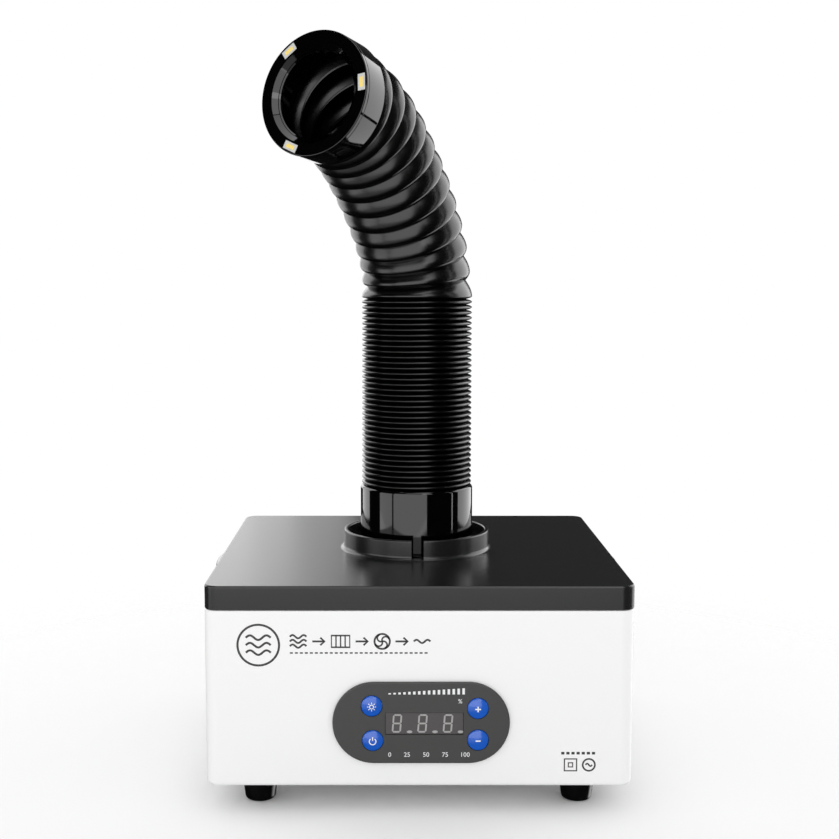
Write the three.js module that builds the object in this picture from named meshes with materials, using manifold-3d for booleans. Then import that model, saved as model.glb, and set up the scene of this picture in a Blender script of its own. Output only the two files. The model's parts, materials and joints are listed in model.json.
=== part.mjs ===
// Bench-top solder fume extractor: a square filter case on four rubber feet, with a lift-off lid
// that carries a corrugated suction hose. The hose turns in the lid's collar, pulls out of its
// collapsed stretch and bends, fold by fold, up to a nozzle with three lamps in its face.
//
// Millimetres. +Z is up, -Y is the front with the control panel, +X is to the right of someone
// facing it. The origin is on the table, under the centre of the case.

import * as THREE from 'three';
import { mergeVertices } from 'three/addons/utils/BufferGeometryUtils.js';
import Module from 'manifold-3d';

const wasm = await Module();
wasm.setup();

// ---------------------------------------------------------------- driving dimensions

const GAP = 0.3; // left between pieces that touch
const HOLE_PLAY = 0.4; // left round a piece that passes through a wall
const OVERLAP = 1; // how far pieces to be joined or cut reach into each other

const FOOT = { height: 18.2, topRadius: 12.2, bottomRadius: 9.6, edge: 2, x: 99.5, y: 92 };
const FOOT_SCREW = { headRadius: 4.2, headHeight: 3.2, radius: 2, recess: 6, length: 21 };
const FOOT_BOSS = { radius: 5, cover: 2 };

const CASE = { width: 260, depth: 244, corner: 8.5, wall: 2.5, edge: 2.5 };
const FRONT_Y = -CASE.depth / 2;
const REAR_Y = CASE.depth / 2;
const CASE_BOTTOM = FOOT.height;
const CASE_FLOOR = CASE_BOTTOM + CASE.wall;
const INNER_WIDTH = CASE.width - 2 * CASE.wall;
const INNER_DEPTH = CASE.depth - 2 * CASE.wall;
const INNER_CORNER = CASE.corner - CASE.wall;

const LID = { top: 142, skirt: 14.7, plate: 2.5, edge: 1.2 };
const LID_BOTTOM = LID.top - LID.skirt;
const LID_CEILING = LID.top - LID.plate;
const COLLAR = { radius: 49.5, wall: 3, height: 13.1, fillet: 3, notch: 9 };
const TONGUE = { play: 0.4, wall: 2, top: 136, shelfBottom: 118 };
const GRIP = { length: 80, reach: 6.2, top: LID.top - 8, bottom: LID.top - 15.2, wall: 2.2,
  scoop: 0.86 };
const GASKET = { band: 5.5, squeeze: 0.2, corner: 3 };

const COUPLING = { radius: 38.2, bore: 29.5, height: 43.7, neckRadius: 34.9, neckBottom: 130.5 };
const COUPLING_TOP = LID.top + COUPLING.height;
const SPIGOT = { radius: 30.8, height: 11 };
const RETAINER = { groove: 33.6, radius: 40, thickness: 3, opening: 0.35 };

// The hose: a straight stretch of collapsed folds, a short neck, then stretched folds that are
// hinged at their crests. The last crest and the valley after it belong to the nozzle.
const HOSE = { peak: 37.2, wall: 1.4, sides: 16 };
const NECK_TOP = 313.5;
const NECK_HEIGHT = 7.2;
const FOLDS = 11;
const FOLD = { valley: 33.2, peak: 36.6, valleyPlace: 0.65, shoulderPlace: 0.24, shoulderDrop: 0.5 };
const LEAN_AZIMUTH = THREE.MathUtils.degToRad(-121.97);
const BEND = { length: 163.6, total: THREE.MathUtils.degToRad(80.67), ends: 0.56 };

// The nozzle's face ring is ring thick. Its mouth narrows from mouth at the face to throat.
const NOZZLE = { radius: 38, bore: 31.5, length: 20, ring: 2.7, edge: 0.6, rearEdge: 1 };
const MOUTH_CONE = { mouth: 30.2, throat: 26.5, depth: 3.7, land: 2 };
const LAMP = { count: 3, radius: 34, length: 10, width: 5, depth: 1.2, firstAngle: 97 };

// Panel positions are measured on the front face: x from the middle, z up from the table.
const PANEL = { width: 107.2, height: 50.2, x: 1, z: 58.4, proud: 2 };
const RIM = { width: PANEL.width - 7.2, height: PANEL.height - 7.2, wall: 2, depth: 9.5 };
const WINDOW = { width: 47.4, height: 13.7, corner: 0.5, x: 2.9, z: 58.05 };
const DISPLAY = { width: 49, height: 15.7, lens: 1.4, back: -9.2 };
const BUTTON = { radius: 6.35, rim: 2.4, shoulder: 4.45, shoulderDrop: 0.4, crown: 3.9,
  flange: 7, flangeDepth: 1, stem: 2.5, stemEnd: -5.7 };
const BUTTONS = {
  button_lamp: [-28.9, 69],
  button_power: [-28.3, 47.6],
  button_up: [35.2, 67.5],
  button_down: [35.3, 47.9],
};
const BOARD = { front: -9.8, thickness: 1.6, play: 0.5 };
const SWITCH = { size: 6, height: 2.8, plungerRadius: 1.7, plunger: 3.2 };
const CONNECTOR = { width: 16, height: 8, depth: 6, x: PANEL.x - 30 };

const FAN = { x: 35, y: 5, radius: 75, eye: 50, blades: 9, bottom: 36, top: 72, disc: 2 };
const BLADE = { length: 30, thickness: 2, radius: 62, turn: THREE.MathUtils.degToRad(50) };
const HUB = { radius: 27, wall: 3, top: 61, bottom: 29, shaft: 3, shaftBottom: 42 };
const MOTOR = { base: 32, baseHeight: 3.5, radius: 22, top: 56 };
const FAN_PLATE = { width: 249.6, depth: 233.6, bottom: 85.3, thickness: 2.5, eye: 45.5 };
const FAN_PLATE_SCREW = { x: 121, y: 103, length: 9, notch: 8 };
const SMALL_SCREW = { radius: 1.5, headRadius: 2.9, headHeight: 2.2 };
const FAN_PLATE_TOP = FAN_PLATE.bottom + FAN_PLATE.thickness;
const MOUTH = { wall: 2, bottom: 71.5 };
const RAIL = { width: 8.5, height: 12, length: 210 };
const FILTER = { width: 246, depth: 230, corner: 4, border: 7, recess: 1.5 };
const FILTER_HEIGHTS = { carbon_filter: 13.9, hepa_filter: 19.7, prefilter: 7.6 };

const SLOTS = { count: 12, width: 4, height: 42, pitch: 8, x: 35, z: 50 };
const INLET = { x: -80, z: 48, width: 27.2, height: 19.7, corner: 1, depth: 16 };
const INLET_FLANGE = { width: 50, height: 24, corner: 3, thickness: 2.5, screwSpan: 20 };
const SOCKET = { width: 24, height: 16, corner: 2, depth: 12, pin: [2, 4, 8], pins: [[-7, -2], [0, 2], [7, -2]] };
const INLET_SCREW_LENGTH = 10;

const POWER_BOARD = { x: -87, y: -8, width: 66, depth: 104, bottom: 28, thickness: 1.6 };
// On the power board: [width, depth, height, x, y] of its square parts, from the board's middle,
// and [radius, height, x, y] of its round ones.
const SQUARE_PARTS = [[8, 44, 24, -22, -14], [20, 16, 15, 4, 26], [12, 30, 12, 20, -30]];
const ROUND_PARTS = [[8, 26, 2, -4], [5, 16, 20, 6]];
const STANDOFF = { radius: 3, inset: 6 };
const TRANSFORMER = { x: -88, y: 62, width: 46, depth: 30, height: 38 };
const CORE_SHARE = 0.55; // of the transformer's depth
const WINDING_SHARE = { width: 0.6, height: 0.72 }; // of the transformer's width and height
const TRANSFORMER_STRAP = { reach: 8, depth: 12, thickness: 2 };

const LEAD_RADIUS = 2.4;
const RIBBON = { width: 10, thickness: 1.2 };
const RIBBON_PATH = [[-48, -76, 54], [-67, -50, 52], [-67, -40, 46], [-67, -38, 42.5]];
const MAINS_LEAD_START = { x: -84, z: 52 };
const MAINS_LEAD_PATH = [[-74, 84, 62], [-68, 60, 66], [-76, 34, 60], [-83, 19, 52], [-83, 18, 45.5]];
const MOTOR_LEAD = { height: 23.9, boardHeight: 28.8, y: -2, bend: [-26, 2, 24.2] };

// ---------------------------------------------------------------- materials

const paint = (color, roughness, metalness = 0) =>
  new THREE.MeshStandardMaterial({ color, roughness, metalness });

const WHITE_SHELL = paint(0xf4f4f4, 0.35);
const BLACK_SATIN = paint(0x2a2a2a, 0.45);
const BLACK_GLOSS = paint(0x0b0b0c, 0.12);
const HOSE_PLASTIC = paint(0x101011, 0.25);
const PANEL_GREY = paint(0x4a4a49, 0.4);
const DISPLAY_SMOKE = paint(0x585556, 0.15);
const BUTTON_BLUE = paint(0x0c4fc4, 0.2);
const RUBBER = paint(0x141414, 0.6);
const FOAM = paint(0x3a3a3a, 0.9);
const STEEL = paint(0xb8babd, 0.3, 1);
const LAMP_WHITE = paint(0xf6efcf, 0.4);
const MAT_WHITE = paint(0xe9ebe8, 0.95);
const CARBON_BLACK = paint(0x232323, 0.95);
const BOARD_GREEN = paint(0x1f5b3a, 0.5);
const LEAD_BLACK = paint(0x1a1a1a, 0.5);

// ---------------------------------------------------------------- shapes and solids

// A closed mesh as a solid that can be joined and cut.
function solid(geometry) {
  const bare = geometry.clone();
  bare.deleteAttribute('normal');
  bare.deleteAttribute('uv');
  const merged = mergeVertices(bare, 1e-4);
  const vertProperties = new Float32Array(merged.attributes.position.array);
  const triVerts = new Uint32Array(merged.index.array);
  return new wasm.Manifold(new wasm.Mesh({ numProp: 3, vertProperties, triVerts }));
}

// A solid back as a three.js geometry.
function surface(manifold) {
  const { numProp, vertProperties, triVerts } = manifold.getMesh();
  const positions = new Float32Array((vertProperties.length / numProp) * 3);
  for (let i = 0; i < positions.length / 3; i += 1) {
    positions.set(vertProperties.subarray(i * numProp, i * numProp + 3), i * 3);
  }
  const geometry = new THREE.BufferGeometry();
  geometry.setAttribute('position', new THREE.BufferAttribute(positions, 3));
  geometry.setIndex(new THREE.BufferAttribute(new Uint32Array(triVerts), 1));
  geometry.computeVertexNormals();
  return geometry;
}

const join = (...geometries) => surface(geometries.map(solid).reduce((a, b) => a.add(b)));

const cut = (geometry, ...tools) =>
  surface(tools.map(solid).reduce((rest, tool) => rest.subtract(tool), solid(geometry)));

const keepInside = (geometry, region) => surface(solid(geometry).intersect(solid(region)));

// A rectangle with round corners about (x, y).
function roundedRect(width, height, radius, x = 0, y = 0) {
  const right = width / 2 - radius;
  const top = height / 2 - radius;
  const shape = new THREE.Shape();
  shape.absarc(x + right, y + top, radius, 0, Math.PI / 2);
  shape.absarc(x - right, y + top, radius, Math.PI / 2, Math.PI);
  shape.absarc(x - right, y - top, radius, Math.PI, 1.5 * Math.PI);
  shape.absarc(x + right, y - top, radius, 1.5 * Math.PI, 2 * Math.PI);
  return shape;
}

// A bar outline with half-round ends; the ends keep a hair's breadth of straight side.
const stadium = (width, height, x, y) => roundedRect(width, height, height / 2 - 0.05, x, y);

function prism(shape, bottom, top, curveSegments = 4) {
  const options = { depth: top - bottom, bevelEnabled: false, curveSegments };
  return new THREE.ExtrudeGeometry(shape, options).translate(0, 0, bottom);
}

// A rounded block whose bottom and top edges are rounded by edge.
function softBlock(width, depth, corner, edge, bottom, top) {
  const options = {
    depth: top - bottom - 2 * edge,
    bevelThickness: edge,
    bevelSize: edge,
    bevelOffset: -edge,
    bevelSegments: 2,
    curveSegments: 4,
  };
  const shape = roundedRect(width, depth, corner);
  return new THREE.ExtrudeGeometry(shape, options).translate(0, 0, bottom + edge);
}

function block(width, depth, height, x, y, bottom) {
  return new THREE.BoxGeometry(width, depth, height).translate(x, y, bottom + height / 2);
}

function rod(radius, bottom, top, x = 0, y = 0, sides = 16) {
  const cylinder = new THREE.CylinderGeometry(radius, radius, top - bottom, sides);
  return cylinder.rotateX(Math.PI / 2).translate(x, y, (bottom + top) / 2);
}

// Turns a closed outline of [radius, height] points about the vertical axis. The outline runs up
// its outer side and down its inner side.
function turned(outline, sides = 32) {
  const points = outline.map(([radius, height]) => new THREE.Vector2(radius, height));
  const closed = outline[0][0] > 0 || outline.at(-1)[0] > 0 ? [...points, points[0]] : points;
  return new THREE.LatheGeometry(closed, sides).rotateX(Math.PI / 2);
}

const tube = (outer, inner, bottom, top, sides) =>
  turned([[inner, bottom], [outer, bottom], [outer, top], [inner, top]], sides);

// Moves a piece drawn flat, with its own z pointing out of the wall, onto the front or rear wall.
const ontoFront = (geometry) => geometry.rotateX(Math.PI / 2).translate(0, FRONT_Y, 0);
const ontoRear = (geometry) =>
  geometry.rotateX(Math.PI / 2).rotateZ(Math.PI).translate(0, REAR_Y, 0);

// The outline of the mains inlet's body, grown by play on each side, as seen from behind.
const inletBody = (play) =>
  roundedRect(INLET.width + 2 * play, INLET.height + 2 * play, INLET.corner, -INLET.x, INLET.z);

// A round lead along a smooth curve through the points.
function lead(points) {
  const path = new THREE.CatmullRomCurve3(points.map((point) => new THREE.Vector3(...point)));
  const section = new THREE.Shape().absarc(0, 0, LEAD_RADIUS, 0, 2 * Math.PI);
  return new THREE.ExtrudeGeometry(section, { extrudePath: path, steps: 10, curveSegments: 4 });
}

// ---------------------------------------------------------------- the assembly

const extractor = new THREE.Group();

function add(parent, name, geometry, material) {
  const mesh = new THREE.Mesh(geometry, material);
  mesh.name = name;
  parent.add(mesh);
  return mesh;
}

const atEachCorner = (x, y, place) =>
  [[x, -y], [-x, -y], [x, y], [-x, y]].forEach(([cx, cy], i) => place(cx, cy, i + 1));

// ---------------------------------------------------------------- case and feet

const base = new THREE.Group();
extractor.add(base);

function caseShell() {
  const rimTop = LID_BOTTOM - GAP;
  const tongueWidth = INNER_WIDTH - 2 * TONGUE.play;
  const tongueDepth = INNER_DEPTH - 2 * TONGUE.play;
  const mouth = prism(
    roundedRect(
      tongueWidth - 2 * TONGUE.wall,
      tongueDepth - 2 * TONGUE.wall,
      INNER_CORNER - TONGUE.wall,
    ),
    TONGUE.shelfBottom - OVERLAP,
    TONGUE.top + OVERLAP,
  );
  const outside = keepInside(
    softBlock(CASE.width, CASE.depth, CASE.corner, CASE.edge, CASE_BOTTOM, LID.top),
    block(2 * CASE.width, 2 * CASE.depth, rimTop - CASE_BOTTOM + OVERLAP, 0, 0, CASE_BOTTOM - OVERLAP),
  );
  const inside = roundedRect(INNER_WIDTH, INNER_DEPTH, INNER_CORNER);
  const hollow = prism(inside, CASE_FLOOR, LID.top);
  const shelf = roundedRect(
    INNER_WIDTH + 2 * OVERLAP,
    INNER_DEPTH + 2 * OVERLAP,
    INNER_CORNER + OVERLAP,
  );
  const tongue = roundedRect(tongueWidth, tongueDepth, INNER_CORNER - TONGUE.play);
  const additions = [
    prism(shelf, TONGUE.shelfBottom, rimTop),
    prism(tongue, rimTop - OVERLAP, TONGUE.top),
  ].map((piece) => cut(piece, mouth));

  for (const side of [-1, 1]) {
    const x = side * (INNER_WIDTH / 2 - RAIL.width / 2 + OVERLAP / 2);
    const bottom = FAN_PLATE.bottom - GAP - RAIL.height;
    additions.push(block(RAIL.width, RAIL.length, RAIL.height, x, 0, bottom));
  }
  const screwTip = FOOT.height - FOOT_SCREW.recess + FOOT_SCREW.length;
  atEachCorner(FOOT.x, FOOT.y, (x, y) => {
    const top = screwTip + FOOT_BOSS.cover;
    additions.push(rod(FOOT_BOSS.radius, CASE_FLOOR - OVERLAP, top, x, y, 12));
  });
  const boardX = POWER_BOARD.width / 2 - STANDOFF.inset;
  const boardY = POWER_BOARD.depth / 2 - STANDOFF.inset;
  atEachCorner(boardX, boardY, (x, y) => {
    const top = POWER_BOARD.bottom - GAP;
    additions.push(
      rod(STANDOFF.radius, CASE_FLOOR - OVERLAP, top, POWER_BOARD.x + x, POWER_BOARD.y + y, 10),
    );
  });

  const openings = [];
  const panelHole = stadium(RIM.width + 2 * HOLE_PLAY, RIM.height + 2 * HOLE_PLAY, PANEL.x, PANEL.z);
  openings.push(ontoFront(prism(panelHole, -CASE.wall - OVERLAP, OVERLAP, 6)));
  for (let i = 0; i < SLOTS.count; i += 1) {
    const x = SLOTS.x + (i - (SLOTS.count - 1) / 2) * SLOTS.pitch;
    const z = SLOTS.z - SLOTS.height / 2;
    openings.push(block(SLOTS.width, 3 * CASE.wall, SLOTS.height, x, REAR_Y, z));
  }
  const inletHole = inletBody(HOLE_PLAY);
  openings.push(ontoRear(prism(inletHole, -CASE.wall - OVERLAP, OVERLAP, 1)));
  for (const side of [-1, 1]) {
    const hole = rod(
      SMALL_SCREW.radius + GAP,
      -CASE.wall - OVERLAP,
      OVERLAP,
      -INLET.x + side * INLET_FLANGE.screwSpan,
      INLET.z,
      10,
    );
    openings.push(ontoRear(hole));
  }
  atEachCorner(FOOT.x, FOOT.y, (x, y) => {
    const bottom = CASE_BOTTOM - OVERLAP;
    openings.push(rod(FOOT_SCREW.radius + GAP, bottom, screwTip + GAP, x, y, 12));
  });
  atEachCorner(FAN_PLATE_SCREW.x, FAN_PLATE_SCREW.y, (x, y) => {
    const bottom = FAN_PLATE_TOP - FAN_PLATE_SCREW.length;
    openings.push(rod(SMALL_SCREW.radius + GAP, bottom, FAN_PLATE.bottom, x, y, 8));
  });
  return cut(join(cut(outside, hollow), ...additions), ...openings);
}

function foot() {
  const top = FOOT.height - GAP;
  const { bottomRadius, topRadius, edge } = FOOT;
  const outline = [
    [FOOT_BOSS.radius, 0],
    [bottomRadius - edge, 0],
    [bottomRadius - 0.3 * edge, 0.3 * edge],
    [bottomRadius, edge],
    [topRadius, top],
    [FOOT_SCREW.radius + GAP, top],
    [FOOT_SCREW.radius + GAP, FOOT_SCREW.recess],
    [FOOT_BOSS.radius, FOOT_SCREW.recess],
  ];
  return turned(outline, 18);
}

// A screw standing head down, its head's upper face at seat.
function screwHeadDown(seat, { headRadius, headHeight, radius, length }) {
  const outline = [
    [0, seat - headHeight],
    [headRadius, seat - headHeight],
    [headRadius, seat],
    [radius, seat],
    [radius, seat + length],
    [0, seat + length],
  ];
  return turned(outline, 10);
}

add(base, 'case_shell', caseShell(), WHITE_SHELL);
atEachCorner(FOOT.x, FOOT.y, (x, y, number) => {
  add(base, `foot_${number}`, foot(), RUBBER).position.set(x, y, 0);
  const screw = screwHeadDown(FOOT_SCREW.recess - GAP, FOOT_SCREW);
  add(base, `foot_screw_${number}`, screw, STEEL).position.set(x, y, 0);
});

// ---------------------------------------------------------------- control panel

// Everything in this group is drawn flat: x to the right, y up from the table, z out of the wall.
const front = new THREE.Group();
front.rotation.x = Math.PI / 2;
front.position.y = FRONT_Y;
base.add(front);

function controlPanel() {
  const through = [-OVERLAP, PANEL.proud + OVERLAP];
  const plate = prism(stadium(PANEL.width, PANEL.height, PANEL.x, PANEL.z), GAP, PANEL.proud, 6);
  const inside = stadium(RIM.width - 2 * RIM.wall, RIM.height - 2 * RIM.wall, PANEL.x, PANEL.z);
  const rim = cut(
    prism(stadium(RIM.width, RIM.height, PANEL.x, PANEL.z), -RIM.depth, PANEL.proud / 2, 6),
    prism(inside, -RIM.depth - OVERLAP, PANEL.proud, 6),
  );
  const window = roundedRect(
    WINDOW.width + 2 * HOLE_PLAY,
    WINDOW.height + 2 * HOLE_PLAY,
    WINDOW.corner + HOLE_PLAY,
    WINDOW.x,
    WINDOW.z,
  );
  const holes = Object.values(BUTTONS).map(([x, z]) =>
    rod(BUTTON.radius + GAP, ...through, x, z, 16),
  );
  return cut(join(plate, rim), prism(window, ...through, 1), ...holes);
}

function displayModule() {
  const { width, height, back, lens } = DISPLAY;
  const { corner, x, z } = WINDOW;
  const body = prism(roundedRect(width, height, corner, x, z), back, 0, 1);
  const glass = roundedRect(WINDOW.width, WINDOW.height, corner, x, z);
  return join(body, prism(glass, -OVERLAP, lens, 1));
}

function pushButton() {
  const outline = [
    [0, BUTTON.stemEnd],
    [BUTTON.stem, BUTTON.stemEnd],
    [BUTTON.stem, -BUTTON.flangeDepth],
    [BUTTON.flange, -BUTTON.flangeDepth],
    [BUTTON.flange, 0],
    [BUTTON.radius, 0],
    [BUTTON.radius, BUTTON.rim],
    [BUTTON.shoulder, BUTTON.crown - BUTTON.shoulderDrop],
    [0, BUTTON.crown],
  ];
  return turned(outline, 16);
}

function controlBoard() {
  const back = BOARD.front - BOARD.thickness;
  const outline = stadium(RIM.width - 2 * BOARD.play, RIM.height - 2 * BOARD.play, PANEL.x, PANEL.z);
  const inBoard = BOARD.front - BOARD.thickness / 2;
  const switches = Object.values(BUTTONS).flatMap(([x, z]) => [
    block(SWITCH.size, SWITCH.size, SWITCH.height + BOARD.front - inBoard, x, z, inBoard),
    rod(SWITCH.plungerRadius, inBoard, BOARD.front + SWITCH.plunger, x, z, 8),
  ]);
  const { width, height, depth, x } = CONNECTOR;
  const connector = block(width, height, depth + BOARD.thickness / 2, x, PANEL.z, back - depth);
  return join(prism(outline, back, BOARD.front, 6), connector, ...switches);
}

add(front, 'control_panel', controlPanel(), PANEL_GREY);
add(front, 'display_module', displayModule(), DISPLAY_SMOKE);
add(front, 'control_board', controlBoard(), BOARD_GREEN);
for (const [name, [x, z]] of Object.entries(BUTTONS)) {
  add(front, name, pushButton(), BUTTON_BLUE).position.set(x, z, 0);
}

// ---------------------------------------------------------------- mains inlet

const rear = new THREE.Group();
rear.rotation.set(Math.PI / 2, 0, Math.PI, 'ZXY');
rear.position.y = REAR_Y;
base.add(rear);

function mainsInlet() {
  const x = -INLET.x;
  const { z } = INLET;
  const outer = INLET_FLANGE.thickness + GAP;
  const flange = roundedRect(INLET_FLANGE.width, INLET_FLANGE.height, INLET_FLANGE.corner, x, z);
  const body = join(
    prism(flange, GAP, outer, 3),
    prism(inletBody(0), -INLET.depth, GAP + OVERLAP, 1),
  );
  const socket = roundedRect(SOCKET.width, SOCKET.height, SOCKET.corner, x, z);
  const holes = [-1, 1].map((side) =>
    rod(SMALL_SCREW.radius + GAP, 0, outer + 1, x + side * INLET_FLANGE.screwSpan, z, 10),
  );
  const hollowed = cut(body, prism(socket, -SOCKET.depth, outer + 1, 2), ...holes);
  const [width, height, length] = SOCKET.pin;
  const pins = SOCKET.pins.map(([dx, dz]) =>
    block(width, height, length + OVERLAP, x + dx, z + dz, -SOCKET.depth - OVERLAP),
  );
  return join(hollowed, ...pins);
}

add(rear, 'mains_inlet', mainsInlet(), BLACK_SATIN);
for (const [i, side] of [-1, 1].entries()) {
  const screw = screwHeadDown(0, { ...SMALL_SCREW, length: INLET_SCREW_LENGTH });
  const mesh = add(rear, `inlet_screw_${i + 1}`, screw, STEEL);
  mesh.rotation.x = Math.PI;
  const seat = INLET_FLANGE.thickness + 2 * GAP;
  mesh.position.set(-INLET.x + side * INLET_FLANGE.screwSpan, INLET.z, seat);
}

// ---------------------------------------------------------------- fan

const fan = new THREE.Group();
fan.position.set(FAN.x, FAN.y, 0);
base.add(fan);

function fanMotor() {
  const foot = CASE_FLOOR + GAP;
  const outline = [
    [HUB.shaft + GAP, foot],
    [MOTOR.base, foot],
    [MOTOR.base, foot + MOTOR.baseHeight],
    [MOTOR.radius, foot + MOTOR.baseHeight],
    [MOTOR.radius, MOTOR.top],
    [HUB.shaft + GAP, MOTOR.top],
  ];
  return turned(outline, 18);
}

function fanImpeller() {
  const hub = turned([
    [0, HUB.shaftBottom],
    [HUB.shaft, HUB.shaftBottom],
    [HUB.shaft, HUB.top - HUB.wall],
    [HUB.radius - HUB.wall, HUB.top - HUB.wall],
    [HUB.radius - HUB.wall, HUB.bottom],
    [HUB.radius, HUB.bottom],
    [HUB.radius, HUB.top],
    [0, HUB.top],
  ], 18);
  const pieces = [
    hub,
    tube(FAN.radius, HUB.radius - OVERLAP, FAN.bottom, FAN.bottom + FAN.disc, 24),
    tube(FAN.radius, FAN.eye, FAN.top - FAN.disc, FAN.top, 24),
  ];
  const bladeHeight = FAN.top - FAN.bottom - FAN.disc;
  for (let i = 0; i < FAN.blades; i += 1) {
    const blade = block(BLADE.length, BLADE.thickness, bladeHeight, 0, 0, FAN.bottom + FAN.disc / 2);
    blade.rotateZ(BLADE.turn).translate(BLADE.radius, 0, 0);
    pieces.push(blade.rotateZ((i / FAN.blades) * 2 * Math.PI));
  }
  return join(...pieces);
}

function fanPlate() {
  const { width, depth, bottom, eye } = FAN_PLATE;
  const plate = prism(roundedRect(width, depth, FILTER.corner), bottom, FAN_PLATE_TOP, 2);
  const mouth = tube(eye + MOUTH.wall, eye, MOUTH.bottom, bottom + OVERLAP, 24);
  const opening = rod(eye, MOUTH.bottom - OVERLAP, FAN_PLATE_TOP + OVERLAP, 0, 0, 24);
  const holes = [];
  atEachCorner(FAN_PLATE_SCREW.x, FAN_PLATE_SCREW.y, (x, y) => {
    const ends = [bottom - OVERLAP, FAN_PLATE_TOP + OVERLAP];
    holes.push(rod(SMALL_SCREW.radius + GAP, ...ends, x, y, 8));
  });
  const raised = join(plate, mouth.translate(FAN.x, FAN.y, 0));
  return cut(raised, opening.translate(FAN.x, FAN.y, 0), ...holes);
}

add(fan, 'fan_motor', fanMotor(), STEEL);
add(fan, 'fan_impeller', fanImpeller(), BLACK_SATIN);
add(base, 'fan_plate', fanPlate(), STEEL);
atEachCorner(FAN_PLATE_SCREW.x, FAN_PLATE_SCREW.y, (x, y, number) => {
  const screw = screwHeadDown(0, { ...SMALL_SCREW, length: FAN_PLATE_SCREW.length - GAP });
  const mesh = add(base, `fan_plate_screw_${number}`, screw, STEEL);
  mesh.rotation.x = Math.PI;
  mesh.position.set(x, y, FAN_PLATE_TOP + GAP);
});

// ---------------------------------------------------------------- filters

// A filter frame with its medium set back from both faces, notched at its corners for the heads
// of the fan plate's screws.
function filterBlock(bottom, height) {
  const { width, depth, corner, border, recess } = FILTER;
  const frame = prism(roundedRect(width, depth, corner), bottom, bottom + height, 2);
  const medium = roundedRect(width - 2 * border, depth - 2 * border, 2);
  const recesses = [
    prism(medium, bottom - OVERLAP, bottom + recess, 1),
    prism(medium, bottom + height - recess, bottom + height + OVERLAP, 1),
  ];
  const notches = [];
  atEachCorner(FAN_PLATE_SCREW.x, FAN_PLATE_SCREW.y, (x, y) => {
    const { notch } = FAN_PLATE_SCREW;
    const notchHeight = height + 2 * OVERLAP;
    notches.push(block(notch, notch, notchHeight, x + Math.sign(x), y, bottom - OVERLAP));
  });
  return cut(frame, ...recesses, ...notches);
}

const FILTER_MATERIALS = {
  carbon_filter: CARBON_BLACK,
  hepa_filter: MAT_WHITE,
  prefilter: MAT_WHITE,
};
let filterBottom = FAN_PLATE_TOP + GAP;
for (const [name, height] of Object.entries(FILTER_HEIGHTS)) {
  add(base, name, filterBlock(filterBottom, height), FILTER_MATERIALS[name]);
  filterBottom += height + GAP;
}

// ---------------------------------------------------------------- power supply

function powerBoard() {
  const { x, y, width, depth, bottom, thickness } = POWER_BOARD;
  const top = bottom + thickness;
  const inBoard = bottom + thickness / 2;
  return join(
    block(width, depth, thickness, x, y, bottom),
    ...SQUARE_PARTS.map(([partWidth, partDepth, height, dx, dy]) =>
      block(partWidth, partDepth, height + top - inBoard, x + dx, y + dy, inBoard),
    ),
    ...ROUND_PARTS.map(([radius, height, dx, dy]) =>
      rod(radius, inBoard, top + height, x + dx, y + dy, 14),
    ),
  );
}

function transformer() {
  const { x, y, width, depth, height } = TRANSFORMER;
  const bottom = CASE_FLOOR + GAP;
  const { reach, depth: strapDepth, thickness } = TRANSFORMER_STRAP;
  const windingHeight = height * WINDING_SHARE.height;
  const windingBottom = bottom + (height - windingHeight) / 2;
  return join(
    block(width, depth * CORE_SHARE, height, x, y, bottom),
    block(width * WINDING_SHARE.width, depth, windingHeight, x, y, windingBottom),
    block(width + 2 * reach, strapDepth, thickness, x, y, bottom),
  );
}

// A flat ribbon from the control board's connector down to the power board.
function panelRibbon() {
  const start = FRONT_Y - BOARD.front + BOARD.thickness + CONNECTOR.depth + GAP;
  const straight = CONNECTOR.height;
  const path = new THREE.CatmullRomCurve3([
    new THREE.Vector3(CONNECTOR.x, start, PANEL.z),
    new THREE.Vector3(CONNECTOR.x, start + straight, PANEL.z),
    ...RIBBON_PATH.map((point) => new THREE.Vector3(...point)),
  ]);
  const halfWidth = RIBBON.width / 2;
  const halfThickness = RIBBON.thickness / 2;
  const section = new THREE.Shape();
  section.moveTo(-halfThickness, -halfWidth);
  section.lineTo(halfThickness, -halfWidth);
  section.lineTo(halfThickness, halfWidth);
  section.lineTo(-halfThickness, halfWidth);
  return new THREE.ExtrudeGeometry(section, { extrudePath: path, steps: 14 });
}

add(base, 'power_board', powerBoard(), BOARD_GREEN);
add(base, 'transformer', transformer(), STEEL);
add(base, 'panel_cable', panelRibbon(), LEAD_BLACK);

const inletBack = REAR_Y - INLET.depth;
add(base, 'mains_lead', lead([
  [MAINS_LEAD_START.x, inletBack - GAP, MAINS_LEAD_START.z],
  [MAINS_LEAD_START.x, inletBack - 2 * LEAD_RADIUS, MAINS_LEAD_START.z],
  ...MAINS_LEAD_PATH,
]), LEAD_BLACK);

const motorSide = FAN.x - MOTOR.base;
const boardSide = POWER_BOARD.x + POWER_BOARD.width / 2;
add(base, 'motor_lead', lead([
  [motorSide - GAP, FAN.y, MOTOR_LEAD.height],
  [motorSide - 3 * LEAD_RADIUS, FAN.y, MOTOR_LEAD.height],
  MOTOR_LEAD.bend,
  [boardSide + 2 * LEAD_RADIUS, MOTOR_LEAD.y, MOTOR_LEAD.boardHeight],
  [boardSide + GAP, MOTOR_LEAD.y, MOTOR_LEAD.boardHeight],
]), LEAD_BLACK);

// ---------------------------------------------------------------- lid

const lid = new THREE.Group();
extractor.add(lid);

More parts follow.
